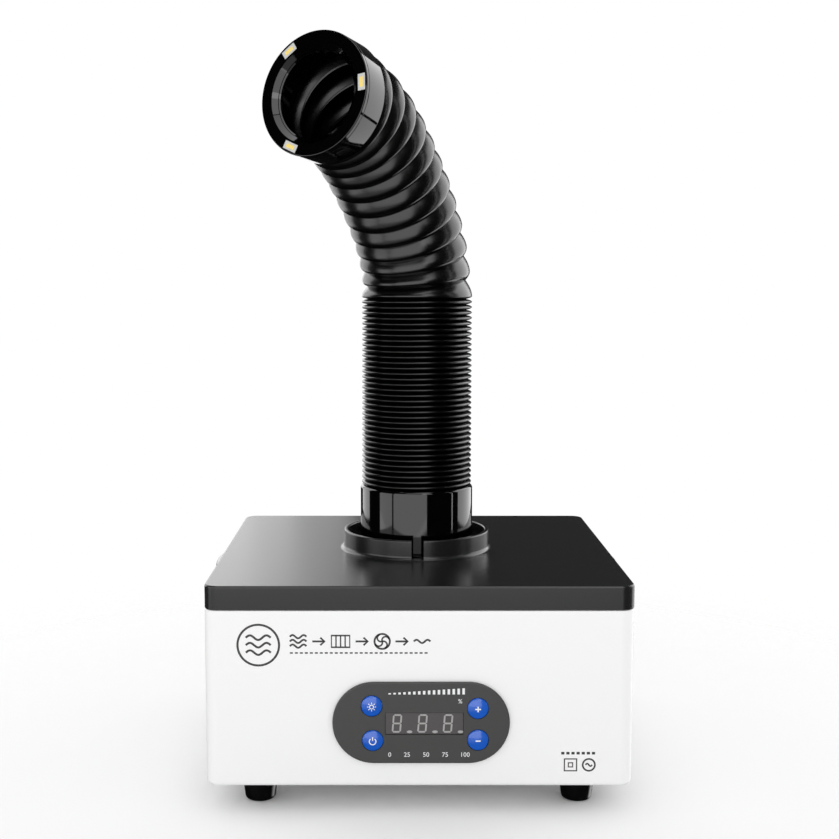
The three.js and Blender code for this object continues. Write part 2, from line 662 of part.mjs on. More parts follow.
function lidCover() {
  const shell = keepInside(
    softBlock(CASE.width, CASE.depth, CASE.corner, LID.edge, CASE_BOTTOM, LID.top),
    block(2 * CASE.width, 2 * CASE.depth, LID.skirt + OVERLAP, 0, 0, LID_BOTTOM),
  );
  const hollow = roundedRect(INNER_WIDTH, INNER_DEPTH, INNER_CORNER);
  const { radius, wall, height, fillet, notch } = COLLAR;
  const rim = LID.top + height;
  const flare = [0, 1, 2, 3].map((step) => {
    const angle = (step / 3) * (Math.PI / 2);
    return [
      radius + fillet * (1 - Math.sin(angle)),
      LID.top + fillet * (1 - Math.cos(angle)),
    ];
  });
  const collar = turned([
    [radius - wall, LID.top - OVERLAP],
    [radius + fillet, LID.top - OVERLAP],
    ...flare,
    [radius, rim],
    [radius - wall, rim],
  ], 36);
  return cut(
    join(shell, collar),
    prism(hollow, LID_BOTTOM - OVERLAP, LID_CEILING),
    rod(COUPLING.neckRadius + GAP, LID_BOTTOM, LID.top + OVERLAP, 0, 0, 32),
    block(notch, 3 * wall, height, 0, wall - radius, LID.top + 2 * GAP),
  );
}

function lidGasket() {
  const width = INNER_WIDTH - 2 * TONGUE.play;
  const depth = INNER_DEPTH - 2 * TONGUE.play;
  const { band, squeeze, corner } = GASKET;
  const outline = roundedRect(width + 2 * squeeze, depth + 2 * squeeze, INNER_CORNER - TONGUE.play);
  const outer = prism(outline, TONGUE.top + GAP, LID_CEILING - GAP, 3);
  const inner = roundedRect(width - 2 * band, depth - 2 * band, corner);
  return cut(outer, prism(inner, TONGUE.top, LID_CEILING, 2));
}

// A curved lip that the fingers hook under to lift the lid: an arc in plan, open underneath.
function grip() {
  const { length, reach, top, bottom, wall } = GRIP;
  const radius = (length * length) / (8 * reach) + reach / 2;
  const sweep = Math.asin(length / 2 / radius);
  const bow = (r, half) => {
    const shape = new THREE.Shape();
    shape.absarc(reach - radius, 0, r, -half, half);
    return shape;
  };
  const body = prism(bow(radius, sweep), bottom, top, 10);
  const scoop = prism(bow(radius - wall, sweep * GRIP.scoop), bottom - OVERLAP, top - wall, 10);
  const outwards = block(length, 2 * length, 2 * (top - bottom), length / 2 + wall, 0, 2 * bottom - top);
  return cut(body, keepInside(scoop, outwards));
}

add(lid, 'lid_cover', lidCover(), BLACK_SATIN);
add(lid, 'lid_gasket', lidGasket(), FOAM);
const rightGrip = add(lid, 'grip_right', grip(), BLACK_GLOSS);
rightGrip.position.x = CASE.width / 2 + GAP;
const leftGrip = add(lid, 'grip_left', grip(), BLACK_GLOSS);
leftGrip.rotation.z = Math.PI;
leftGrip.position.x = -CASE.width / 2 - GAP;

// ---------------------------------------------------------------- hose

// The hose group's own x points the way the hose leans.
const hose = new THREE.Group();
hose.rotation.z = LEAN_AZIMUTH;
extractor.add(hose);

function hoseCoupling() {
  const { radius, bore, neckRadius, neckBottom } = COUPLING;
  const outline = [
    [bore, neckBottom],
    [neckRadius, neckBottom],
    [neckRadius, LID_CEILING - 2 * GAP - RETAINER.thickness],
    [RETAINER.groove, LID_CEILING - 2 * GAP - RETAINER.thickness],
    [RETAINER.groove, LID_CEILING],
    [neckRadius, LID_CEILING],
    [neckRadius, LID.top + GAP],
    [radius, LID.top + GAP],
    [radius, COUPLING_TOP],
    [SPIGOT.radius, COUPLING_TOP],
    [SPIGOT.radius, COUPLING_TOP + SPIGOT.height],
    [bore, COUPLING_TOP + SPIGOT.height],
  ];
  return turned(outline, 24);
}

function couplingRetainer() {
  const { groove, radius, thickness, opening } = RETAINER;
  const shape = new THREE.Shape();
  shape.absarc(0, 0, radius, opening / 2, 2 * Math.PI - opening / 2);
  shape.absarc(0, 0, groove + GAP, 2 * Math.PI - opening / 2, opening / 2, true);
  const top = LID_CEILING - GAP;
  return prism(shape, top - thickness, top, 16);
}

const collapsedTop = NECK_TOP - NECK_HEIGHT - GAP;

add(hose, 'hose_coupling', hoseCoupling(), BLACK_GLOSS);
add(hose, 'coupling_retainer', couplingRetainer(), STEEL);
const hoseInside = FOLD.valley - HOSE.wall;
const collapsed = tube(HOSE.peak, hoseInside, COUPLING_TOP + GAP, collapsedTop, HOSE.sides);
add(hose, 'hose_collapsed', collapsed, HOSE_PLASTIC);
const neck = tube(HOSE.peak, hoseInside, NECK_TOP - NECK_HEIGHT, NECK_TOP - GAP / 2, HOSE.sides);
add(hose, 'hose_neck', neck, HOSE_PLASTIC);

// How far the hose has turned from upright, s along the stretched part. It turns fastest at the
// two ends.
function bendAngle(s) {
  const t = s / BEND.length;
  return BEND.total * (t + (BEND.ends * Math.sin(2 * Math.PI * t)) / (2 * Math.PI));
}

// The centreline of the stretched part: how far it has leaned and risen after s.
function bendPoint(s) {
  const steps = 64;
  const ds = s / steps;
  let lean = 0;
  let rise = 0;
  for (let i = 0; i < steps; i += 1) {
    const angle = bendAngle((i + 0.5) * ds);
    lean += Math.sin(angle) * ds;
    rise += Math.cos(angle) * ds;
  }
  return { lean, rise: NECK_TOP + rise };
}

// Wraps a piece drawn upright along the hose's curve, its own z becoming the way along the hose.
function bent(geometry) {
  const position = geometry.attributes.position;
  for (let i = 0; i < position.count; i += 1) {
    const x = position.getX(i);
    const s = position.getZ(i);
    const angle = bendAngle(s);
    const { lean, rise } = bendPoint(s);
    position.setX(i, lean + x * Math.cos(angle));
    position.setZ(i, rise - x * Math.sin(angle));
  }
  return geometry;
}

// One fold is a ring from crest to crest. The valley lies nearer its upper end.
const pitch = BEND.length / (FOLDS + FOLD.valleyPlace);

function hoseFold(number) {
  const { valley, peak, valleyPlace, shoulderPlace, shoulderDrop } = FOLD;
  const start = (number - 1) * pitch;
  const outside = [
    [peak, start + GAP / 2],
    [peak - shoulderDrop, start + shoulderPlace * pitch],
    [valley, start + valleyPlace * pitch],
    [peak, start + pitch - GAP / 2],
  ];
  const inside = outside.map(([radius, s]) => [radius - HOSE.wall, s]).reverse();
  return bent(turned([...outside, ...inside], HOSE.sides));
}

// The last crest and its slope down to the nozzle.
function hoseEnd() {
  const { valley, peak, shoulderPlace, shoulderDrop } = FOLD;
  const start = FOLDS * pitch;
  const outside = [
    [peak, start + GAP / 2],
    [peak - shoulderDrop, start + shoulderPlace * pitch],
    [valley, BEND.length - GAP / 2],
  ];
  const inside = outside.map(([radius, s]) => [radius - HOSE.wall, s]).reverse();
  return bent(turned([...outside, ...inside], HOSE.sides));
}

for (let number = 1; number <= FOLDS; number += 1) {
  add(hose, `hose_fold_${number}`, hoseFold(number), HOSE_PLASTIC);
}
add(hose, 'hose_end', hoseEnd(), HOSE_PLASTIC);

// ---------------------------------------------------------------- nozzle

const nozzle = new THREE.Group();
const { lean: nozzleLean, rise: nozzleRise } = bendPoint(BEND.length);
nozzle.position.set(nozzleLean, 0, nozzleRise);
nozzle.rotation.y = BEND.total;
hose.add(nozzle);

const ringBottom = NOZZLE.length - NOZZLE.ring;

// The mouth's radius at some depth behind the nozzle's face.
const mouthRadius = (depth) =>
  MOUTH_CONE.mouth - ((MOUTH_CONE.mouth - MOUTH_CONE.throat) * depth) / MOUTH_CONE.depth;

function nozzleBody() {
  const { radius, bore, rearEdge } = NOZZLE;
  const top = ringBottom - GAP;
  const throatTop = NOZZLE.length - MOUTH_CONE.depth;
  const throatBottom = throatTop - MOUTH_CONE.land;
  return turned([
    [bore, GAP / 2],
    [radius - rearEdge, GAP / 2],
    [radius, GAP / 2 + rearEdge],
    [radius, top],
    [mouthRadius(NOZZLE.ring + GAP), top],
    [MOUTH_CONE.throat, throatTop],
    [MOUTH_CONE.throat, throatBottom],
    [bore, throatBottom - MOUTH_CONE.land],
  ], 28);
}

const lampAngle = (number) =>
  THREE.MathUtils.degToRad(LAMP.firstAngle + ((number - 1) * 360) / LAMP.count);

function lampRing() {
  const ring = turned([
    [mouthRadius(NOZZLE.ring), ringBottom],
    [NOZZLE.radius, ringBottom],
    [NOZZLE.radius, NOZZLE.length - NOZZLE.edge],
    [NOZZLE.radius - NOZZLE.edge, NOZZLE.length],
    [MOUTH_CONE.mouth, NOZZLE.length],
  ], 28);
  const pockets = [];
  for (let number = 1; number <= LAMP.count; number += 1) {
    const { width, length, depth, radius } = LAMP;
    const pocket = block(width + 2 * GAP, length + 2 * GAP, 2, radius, 0, NOZZLE.length - depth);
    pockets.push(pocket.rotateZ(lampAngle(number)));
  }
  return cut(ring, ...pockets);
}

add(nozzle, 'nozzle_body', nozzleBody(), BLACK_GLOSS);
add(nozzle, 'lamp_ring', lampRing(), BLACK_GLOSS);
for (let number = 1; number <= LAMP.count; number += 1) {
  const { width, length, depth, radius } = LAMP;
  const lampBottom = NOZZLE.length - depth + GAP;
  const lamp = block(width, length, depth, radius, 0, lampBottom).rotateZ(lampAngle(number));
  add(nozzle, `lamp_${number}`, lamp, LAMP_WHITE);
}

export default extractor;
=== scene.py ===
# %% [markdown]
# # A bench solder fume extractor
#
# The object is a white filter case on four rubber feet, closed by a black lid. A corrugated hose
# stands in the lid's collar, bends over and ends in a nozzle with three lamps. This lesson gives
# each piece of a plain engineering model the shape and finish of the real thing.
#
# The engineering model is loaded first and stays fixed. It says where every piece is, which
# pieces move together, and where the hinges are. Everything is in metres.

# %% Load the frame
import json
import math

import bmesh
import bpy
import numpy as np
from mathutils import Matrix, Vector


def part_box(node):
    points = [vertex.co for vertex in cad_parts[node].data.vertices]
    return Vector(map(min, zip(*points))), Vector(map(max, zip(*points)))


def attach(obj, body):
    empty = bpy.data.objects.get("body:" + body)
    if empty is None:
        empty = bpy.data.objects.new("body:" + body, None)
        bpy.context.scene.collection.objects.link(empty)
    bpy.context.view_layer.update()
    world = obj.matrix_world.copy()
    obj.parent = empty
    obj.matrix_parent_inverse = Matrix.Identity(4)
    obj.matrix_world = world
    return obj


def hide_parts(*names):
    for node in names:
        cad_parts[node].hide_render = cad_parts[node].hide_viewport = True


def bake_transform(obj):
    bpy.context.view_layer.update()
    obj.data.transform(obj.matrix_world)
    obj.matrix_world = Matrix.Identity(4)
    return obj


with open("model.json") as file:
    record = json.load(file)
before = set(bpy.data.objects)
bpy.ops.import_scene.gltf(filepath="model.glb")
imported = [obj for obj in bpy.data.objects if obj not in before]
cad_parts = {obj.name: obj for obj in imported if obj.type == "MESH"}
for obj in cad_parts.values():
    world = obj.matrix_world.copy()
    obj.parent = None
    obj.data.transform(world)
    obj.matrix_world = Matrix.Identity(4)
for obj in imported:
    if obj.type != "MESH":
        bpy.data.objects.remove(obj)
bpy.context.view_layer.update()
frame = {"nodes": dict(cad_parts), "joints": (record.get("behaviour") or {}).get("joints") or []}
joints = {joint["name"]: joint for joint in frame["joints"]}
MM = 0.001

# %% [markdown]
# ## Driving sizes
#
# The places come from the frame: the boxes of its pieces and the places of its joints. Only what
# a box can't say, such as wall thicknesses and corner radii, is written here.

# %% Sizes read from the frame
LID_TOP = joints["hose_swivel"]["pos_m"][2]
case_low, case_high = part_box("case_shell")
lid_low, lid_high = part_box("lid_cover")
CASE_WIDTH = case_high.x - case_low.x
CASE_DEPTH = case_high.y - case_low.y
FRONT_Y = case_low.y
REAR_Y = case_high.y
HOSE_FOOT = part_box("hose_collapsed")[0].z
HOSE_NECK = joints["bend_1"]["pos_m"][2]
print("case", round(CASE_WIDTH, 4), "x", round(CASE_DEPTH, 4), "lid top at", round(LID_TOP, 4))

# %% [markdown]
# ## Camera
#
# The object is seen from the front, a little from the left and above, with a long lens. The
# camera looks straight ahead and slightly down, so upright edges stay almost parallel, and a
# small sideways shift puts the object where it belongs in the frame.

# %% Place the camera
camera_data = bpy.data.cameras.new("camera")
camera_data.lens = 57.33
camera_data.sensor_width = 36
camera_data.shift_x = 0.0304
camera_data.dof.use_dof = False
camera = bpy.data.objects.new("camera", camera_data)
camera.location = (-0.0154, -0.907, 0.3232)
camera.rotation_euler = (math.radians(84.12), 0, 0)
bpy.context.scene.collection.objects.link(camera)
bpy.context.scene.camera = camera
print("camera", tuple(round(v, 3) for v in camera.location))

# %% [markdown]
# ## Studio
#
# Polished black plastic has almost no colour of its own: what makes its shape readable is what
# it mirrors. So the studio is a dark room with a few large soft panels, each with crisp edges.
# A panel is described by the stretch of directions it fills, seen from the object, with 0
# towards the camera and positive angles to the right. A stretch behind the object is made of
# steps that get dimmer towards the middle, and one panel hangs overhead and faces down.

# %% A soft panel light
def soft_panel(name, start, end, low, high, distance, radiance):
    """A lit rectangle that fills the directions from start to end degrees, low to high metres."""
    middle = math.radians((start + end) / 2)
    width = 2 * distance * math.tan(math.radians(abs(end - start) / 2))
    height = high - low
    data = bpy.data.lights.new(name, "AREA")
    data.shape = "RECTANGLE"
    data.size = width
    data.size_y = height
    data.energy = radiance * math.pi * width * height
    light = bpy.data.objects.new(name, data)
    outward = Vector((math.sin(middle), -math.cos(middle), 0))
    light.location = outward * distance + Vector((0, 0, (low + high) / 2))
    light.rotation_euler = outward.to_track_quat("Z", "Y").to_euler()
    light.visible_camera = False
    light.visible_diffuse = False
    bpy.context.scene.collection.objects.link(light)
    return light


# %% Set up the panels
soft_panel("front_panel", -48, 20, -0.07, 1.05, 1.3, 2.3)
soft_panel("left_panel", -80, -51, -0.06, 0.68, 1.3, 2.3)
soft_panel("ground_panel", -80, 20, -0.6, -0.08, 1.3, 0.7)
soft_panel("high_panel", 12, 34, 0.75, 1.9, 1.3, 2.6)
soft_panel("right_strip", 75, 77, -0.06, 1.5, 1.3, 5.0)
soft_panel("right_panel", 92, 150, -0.07, 1.5, 1.4, 2.8)
soft_panel("right_low_panel", 100, 136, -1.0, -0.11, 1.3, 2.2)
soft_panel("right_back_panel", 152, 180, 0.12, 1.6, 1.5, 0.035)
soft_panel("left_back_panel", -145, -112, -0.07, 1.5, 1.5, 2.3)
BACK_STEPS = ((-148, -166, 2.3), (-166, -169.5, 2.0), (-169.5, -172.5, 1.5), (-172.5, -176.8, 0.92))
for number, (start, end, radiance) in enumerate(BACK_STEPS):
    soft_panel(f"back_panel_{number}", start, end, 0.12, 1.6, 1.5, radiance)
OVERHEAD_PLACE = (0, -0.45, 1.9)
overhead = soft_panel("overhead_panel", -20, 20, 0, 1.5, 1.5, 2.2)
overhead.location = OVERHEAD_PLACE
overhead.rotation_euler = (0, 0, 0)

# %% [markdown]
# The room itself is lit evenly for matt surfaces, pale for the camera and nearly black in
# reflections. The floor is a plain pale sheet.

# %% World and floor
world = bpy.data.worlds.new("studio")
bpy.context.scene.world = world
world.use_nodes = True
sky = world.node_tree
sky.nodes.clear()
rays = sky.nodes.new("ShaderNodeLightPath")
even_light = sky.nodes.new("ShaderNodeBackground")
even_light.inputs["Color"].default_value = (1, 1, 1, 1)
even_light.inputs["Strength"].default_value = 1.0
mirrored = sky.nodes.new("ShaderNodeBackground")
mirrored.inputs["Color"].default_value = (1, 1, 1, 1)
mirrored.inputs["Strength"].default_value = 0.01
seen = sky.nodes.new("ShaderNodeBackground")
seen.inputs["Color"].default_value = (1, 1, 1, 1)
seen.inputs["Strength"].default_value = 1.0
glossy_mix = sky.nodes.new("ShaderNodeMixShader")
camera_mix = sky.nodes.new("ShaderNodeMixShader")
sky_output = sky.nodes.new("ShaderNodeOutputWorld")
sky.links.new(rays.outputs["Is Glossy Ray"], glossy_mix.inputs[0])
sky.links.new(even_light.outputs[0], glossy_mix.inputs[1])
sky.links.new(mirrored.outputs[0], glossy_mix.inputs[2])
sky.links.new(rays.outputs["Is Camera Ray"], camera_mix.inputs[0])
sky.links.new(glossy_mix.outputs[0], camera_mix.inputs[1])
sky.links.new(seen.outputs[0], camera_mix.inputs[2])
sky.links.new(camera_mix.outputs[0], sky_output.inputs[0])

bpy.ops.mesh.primitive_plane_add(size=12)
floor = bpy.context.object
floor.name = "floor"
floor_paper = bpy.data.materials.new("floor_paper")
floor_paper.use_nodes = True
paper_tree = floor_paper.node_tree
paper = paper_tree.nodes["Principled BSDF"]
paper.inputs["Base Color"].default_value = (0.97, 0.97, 0.97, 1)
paper.inputs["Roughness"].default_value = 0.9
paper_place = paper_tree.nodes.new("ShaderNodeTexCoord")
paper_distance = paper_tree.nodes.new("ShaderNodeVectorMath")
paper_distance.operation = "LENGTH"
paper_fade = paper_tree.nodes.new("ShaderNodeMapRange")
paper_fade.interpolation_type = "SMOOTHSTEP"
paper_fade.inputs["From Min"].default_value = 0.2
paper_fade.inputs["From Max"].default_value = 0.6
paper_fade.inputs["To Min"].default_value = 1
paper_fade.inputs["To Max"].default_value = 0
paper_tree.links.new(paper_place.outputs["Object"], paper_distance.inputs[0])
paper_tree.links.new(paper_distance.outputs["Value"], paper_fade.inputs["Value"])
paper_tree.links.new(paper_fade.outputs["Result"], paper.inputs["Alpha"])
floor.data.materials.append(floor_paper)
floor.visible_glossy = False
bpy.context.scene.view_settings.view_transform = "Standard"

# %% [markdown]
# ## Finishes
#
# Moulded plastic, paint and rubber differ in colour and polish, and in the fine grain of the
# mould. One helper makes them all: a fine noise in the object's own space varies the roughness
# and the tint a little and raises a faint grain.

# %% The moulded finish
FINISHES = {}


def link(tree, source, target):
    tree.links.new(source, target)


def finish(name, colour, rough, grain=1500, bump=0.01, tint=0.08, metal=0.0, coat=0.0):
    """A finish with a base colour, a (lowest, highest) roughness and a grain per metre."""
    material = bpy.data.materials.new(name)
    material.use_nodes = True
    tree = material.node_tree
    shader = tree.nodes["Principled BSDF"]
    shader.inputs["Metallic"].default_value = metal
    shader.inputs["Coat Weight"].default_value = coat
    shader.inputs["Coat Roughness"].default_value = 0.08
    place = tree.nodes.new("ShaderNodeTexCoord")
    noise = tree.nodes.new("ShaderNodeTexNoise")
    noise.inputs["Scale"].default_value = grain
    noise.inputs["Detail"].default_value = 3
    link(tree, place.outputs["Object"], noise.inputs["Vector"])
    polish = tree.nodes.new("ShaderNodeMapRange")
    polish.inputs["To Min"].default_value = rough[0]
    polish.inputs["To Max"].default_value = rough[1]
    link(tree, noise.outputs["Fac"], polish.inputs["Value"])
    link(tree, polish.outputs["Result"], shader.inputs["Roughness"])
    ramp = tree.nodes.new("ShaderNodeValToRGB")
    ramp.color_ramp.elements[0].color = (*[c * (1 - tint) for c in colour], 1)
    ramp.color_ramp.elements[1].color = (*[min(1, c * (1 + tint)) for c in colour], 1)
    link(tree, noise.outputs["Fac"], ramp.inputs["Fac"])
    link(tree, ramp.outputs["Color"], shader.inputs["Base Color"])
    relief = tree.nodes.new("ShaderNodeBump")
    relief.inputs["Strength"].default_value = bump
    relief.inputs["Distance"].default_value = 0.0002
    link(tree, noise.outputs["Fac"], relief.inputs["Height"])
    link(tree, relief.outputs["Normal"], shader.inputs["Normal"])
    FINISHES[name] = material
    return material


# %% Plastics, paint and rubber
finish("shell_white", (0.93, 0.93, 0.93), (0.32, 0.4), grain=2200, bump=0.02, tint=0.01)
finish("lid_satin", (0.012, 0.012, 0.0125), (0.22, 0.28), grain=2600, bump=0.03)
finish("polished_black", (0.0006, 0.0006, 0.0006), (0.04, 0.08), grain=300, bump=0.004)
finish("hose_black", (0.0008, 0.0008, 0.0008), (0.2, 0.27), grain=500, bump=0.02)
finish("panel_grey", (0.045, 0.045, 0.044), (0.5, 0.58), grain=2600, bump=0.04, tint=0.04)
finish("button_blue", (0.004, 0.1, 0.56), (0.2, 0.26), grain=900, bump=0.01, coat=0.4)
finish("window_smoke", (0.078, 0.07, 0.073), (0.16, 0.22), grain=800, bump=0.01)
finish("print_white", (0.86, 0.87, 0.88), (0.45, 0.55), grain=3000, bump=0.02, tint=0.02)
finish("print_grey", (0.035, 0.035, 0.035), (0.45, 0.55), grain=3000, bump=0.02, tint=0.05)
finish("segment_grey", (0.38, 0.38, 0.37), (0.4, 0.5), grain=1500, bump=0.01, tint=0.04)
finish("foot_rubber", (0.003, 0.003, 0.003), (0.16, 0.28), grain=1200, bump=0.06)
finish("gasket_foam", (0.05, 0.05, 0.05), (0.85, 0.95), grain=1400, bump=0.5, tint=0.3)
finish("steel_zinc", (0.62, 0.63, 0.65), (0.25, 0.42), grain=400, bump=0.02, metal=1.0)
finish("inner_black", (0.012, 0.012, 0.012), (0.42, 0.52), grain=1500, bump=0.04)
finish("lamp_shell", (0.6, 0.6, 0.58), (0.3, 0.4), grain=2000, bump=0.01, tint=0.02)
finish("lamp_phosphor", (0.95, 0.72, 0.18), (0.4, 0.5), grain=4000, bump=0.03, tint=0.06)
finish("board_green", (0.02, 0.12, 0.06), (0.35, 0.5), grain=700, bump=0.03, tint=0.25)
finish("filter_mat", (0.84, 0.85, 0.83), (0.9, 0.98), grain=900, bump=0.8, tint=0.1)
finish("filter_carbon", (0.012, 0.012, 0.012), (0.6, 0.9), grain=450, bump=0.9, tint=0.5)
finish("lead_black", (0.012, 0.012, 0.012), (0.35, 0.45), grain=900, bump=0.03)
print("finishes:", len(FINISHES))

# %% [markdown]
# ## Building skins
#
# Most of these pieces are moulded: a section runs round a circle, a rounded rectangle or a bar
# with round ends. So one helper stretches a skin over a list of rings. The list may close on
# itself, like the wall of a ring, or end in two caps.

# %% Rings and skins
RING_POINTS = 192


def circle(radius, count=96):
    angles = np.arange(count) / count * 2 * math.pi
    return np.column_stack((np.cos(angles), np.sin(angles))) * radius


def rounded(width, depth, corner, count=RING_POINTS):
    """A rectangle with round corners, anticlockwise, with an equal share of points per side."""
    per_corner = 14
    per_side = count // 4 - per_corner
    half_x, half_y = width / 2 - corner, depth / 2 - corner
    points = []
    for turn, (cx, cy) in enumerate(((1, 1), (-1, 1), (-1, -1), (1, -1))):
        centre = np.array((cx * half_x, cy * half_y))
        for step in range(per_corner):
            angle = (turn + step / per_corner) * math.pi / 2
            points.append(centre + corner * np.array((math.cos(angle), math.sin(angle))))
        angle = (turn + 1) * math.pi / 2
        start = centre + corner * np.array((math.cos(angle), math.sin(angle)))
        nx, ny = ((-1, 1), (-1, -1), (1, -1), (1, 1))[turn]
        goal_centre = np.array((nx * half_x, ny * half_y))
        goal = goal_centre + corner * np.array((math.cos(angle), math.sin(angle)))
        for step in range(per_side):
            points.append(start + (goal - start) * step / per_side)
    return np.array(points)


def at_height(outline, z):
    return np.column_stack((outline, np.full(len(outline), z)))


def skin(name, rings, loop=False):
    """A closed skin over rings of the same number of points. Without loop it gets two caps."""
    mesh_data = bmesh.new()
    rows = [[mesh_data.verts.new(point) for point in ring] for ring in rings]
    pairs = list(zip(rows, rows[1:]))
    if loop:
        pairs.append((rows[-1], rows[0]))
    for lower, upper in pairs:
        for i in range(len(lower)):
            j = (i + 1) % len(lower)
            mesh_data.faces.new((lower[i], lower[j], upper[j], upper[i]))
    if not loop:
        mesh_data.faces.new(reversed(rows[0]))
        mesh_data.faces.new(rows[-1])
    bmesh.ops.recalc_face_normals(mesh_data, faces=mesh_data.faces)
    return as_object(name, mesh_data)


def as_object(name, mesh_data):
    mesh = bpy.data.meshes.new(name)
    mesh_data.to_mesh(mesh)
    mesh_data.free()
    piece = bpy.data.objects.new(name, mesh)
    bpy.context.scene.collection.objects.link(piece)
    return piece


def turned(name, outline, count=96):
    """Turns a closed outline of (radius, height) points about the upright axis."""
    return skin(name, [at_height(circle(radius, count), height) for radius, height in outline], loop=True)


def capped(name, outline, count=96):
    """Turns an outline that starts and ends close to the axis, and caps it there."""
    return skin(name, [at_height(circle(radius, count), height) for radius, height in outline])


# %% Arcs, cuts and finishing a piece
def arc(centre, radius, start, end, steps=5):
    """Points on an arc in a section, angles in degrees from outwards."""
    angles = np.radians(np.linspace(start, end, steps + 1))
    return [(centre[0] + radius * math.cos(a), centre[1] + radius * math.sin(a)) for a in angles]


def move(piece, matrix):
    piece.data.transform(matrix)
    return piece


def cut_away(piece, *tools):
    """Cuts tools out of piece, and removes the tools."""
    for tool in tools:
        modifier = piece.modifiers.new("cut", "BOOLEAN")
        modifier.operation = "DIFFERENCE"
        modifier.solver = "EXACT"
        modifier.object = tool
        freeze(piece)
        bpy.data.objects.remove(tool)
    return piece


def freeze(piece):
    """Makes what the modifiers give the piece's own mesh."""
    graph = bpy.context.evaluated_depsgraph_get()
    mesh = bpy.data.meshes.new_from_object(piece.evaluated_get(graph))
    piece.modifiers.clear()
    piece.data = mesh
    return piece


def dress(piece, material, sharp=32, flat_normals=False):
    """Gives a piece its finish, smooth faces and crisp edges."""
    piece.data.materials.clear()
    piece.data.materials.append(FINISHES[material])
    piece.data.shade_smooth()
    piece.data.set_sharp_from_angle(angle=math.radians(sharp))
    if flat_normals:
        weighted = piece.modifiers.new("weighted", "WEIGHTED_NORMAL")
        weighted.keep_sharp = True
    return piece


def stand_for(piece, body, slot, *nodes):
    """Ties a finished piece to its body and hides the plain pieces it stands for. The slot is not used."""
    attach(piece, body)
    if nodes:
        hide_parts(*nodes)
    print(piece.name, "faces:", len(piece.data.polygons))
    return piece


# Drawn flat and put onto a wall: x to the right, y up, z out of the wall.
ONTO_FRONT = Matrix(((1, 0, 0, 0), (0, 0, -1, FRONT_Y), (0, 1, 0, 0), (0, 0, 0, 1)))
ONTO_REAR = Matrix(((-1, 0, 0, 0), (0, 0, 1, REAR_Y), (0, 1, 0, 0), (0, 0, 0, 1)))

# %% [markdown]
# ## Rows of copies
#
# Louvre slots, pleats and digits repeat at an even pitch. A small Geometry Nodes tree makes
# them: it puts copies of the incoming mesh on the points of a straight line, turns the copies
# into real geometry, and sets their material.

# %% The row tree
def new_tree(name, numbers, whole_numbers=()):
    """A Geometry Nodes tree with a mesh in and out and named inputs."""
    tree = bpy.data.node_groups.new(name, "GeometryNodeTree")
    tree.interface.new_socket("Geometry", in_out="INPUT", socket_type="NodeSocketGeometry")
    tree.interface.new_socket("Geometry", in_out="OUTPUT", socket_type="NodeSocketGeometry")
    for label in whole_numbers:
        tree.interface.new_socket(label, in_out="INPUT", socket_type="NodeSocketInt")
    for label in numbers:
        tree.interface.new_socket(label, in_out="INPUT", socket_type="NodeSocketFloat")
    tree.interface.new_socket("Material", in_out="INPUT", socket_type="NodeSocketMaterial")
    return tree, tree.nodes.new("NodeGroupInput"), tree.nodes.new("NodeGroupOutput")


row_tree, row_in, row_out = new_tree("row_of_copies", ["Step X", "Step Y", "Step Z"], ["Count"])
row_step = row_tree.nodes.new("ShaderNodeCombineXYZ")
for axis in "XYZ":
    link(row_tree, row_in.outputs["Step " + axis], row_step.inputs[axis])
row_line = row_tree.nodes.new("GeometryNodeMeshLine")
link(row_tree, row_in.outputs["Count"], row_line.inputs["Count"])
link(row_tree, row_step.outputs["Vector"], row_line.inputs["Offset"])
row_copies = row_tree.nodes.new("GeometryNodeInstanceOnPoints")
link(row_tree, row_line.outputs["Mesh"], row_copies.inputs["Points"])
link(row_tree, row_in.outputs["Geometry"], row_copies.inputs["Instance"])
row_real = row_tree.nodes.new("GeometryNodeRealizeInstances")
link(row_tree, row_copies.outputs["Instances"], row_real.inputs["Geometry"])
row_paint = row_tree.nodes.new("GeometryNodeSetMaterial")
link(row_tree, row_real.outputs["Geometry"], row_paint.inputs["Geometry"])
link(row_tree, row_in.outputs["Material"], row_paint.inputs["Material"])
link(row_tree, row_paint.outputs["Geometry"], row_out.inputs["Geometry"])


def run_tree(piece, tree, **values):
    """Runs a tree on a piece and keeps the result as its mesh."""
    modifier = piece.modifiers.new(tree.name, "NODES")
    modifier.node_group = tree
    for item in tree.interface.items_tree:
        key = item.name.replace(" ", "_").lower()
        if item.in_out == "INPUT" and key in values:
            modifier[item.identifier] = values[key]
    return freeze(piece)


# %% [markdown]
# ## The case
#
# The case is an open white tub with rounded corners and a rounded bottom edge. Its rim steps in
# to a tongue that the lid closes over. The whole tub is one skin over rounded rectangles: up
# the outside, over the rim, and down the inside. The openings are then cut.

# %% Tub
CORNER = 8.5 * MM
WALL = 2.5 * MM
BOTTOM_EDGE = 2.5 * MM
RIM_TOP = lid_low.z - 0.3 * MM
TONGUE_TOP = case_high.z
TONGUE_INSET = WALL + 0.4 * MM
TONGUE_WALL = 2 * MM
SHELF_BOTTOM = 118 * MM


def inset_ring(inset, z):
    """A ring of the case's outline, moved inwards by inset."""
    corner = max(CORNER - inset, 1.5 * MM)
    return at_height(rounded(CASE_WIDTH - 2 * inset, CASE_DEPTH - 2 * inset, corner), z)


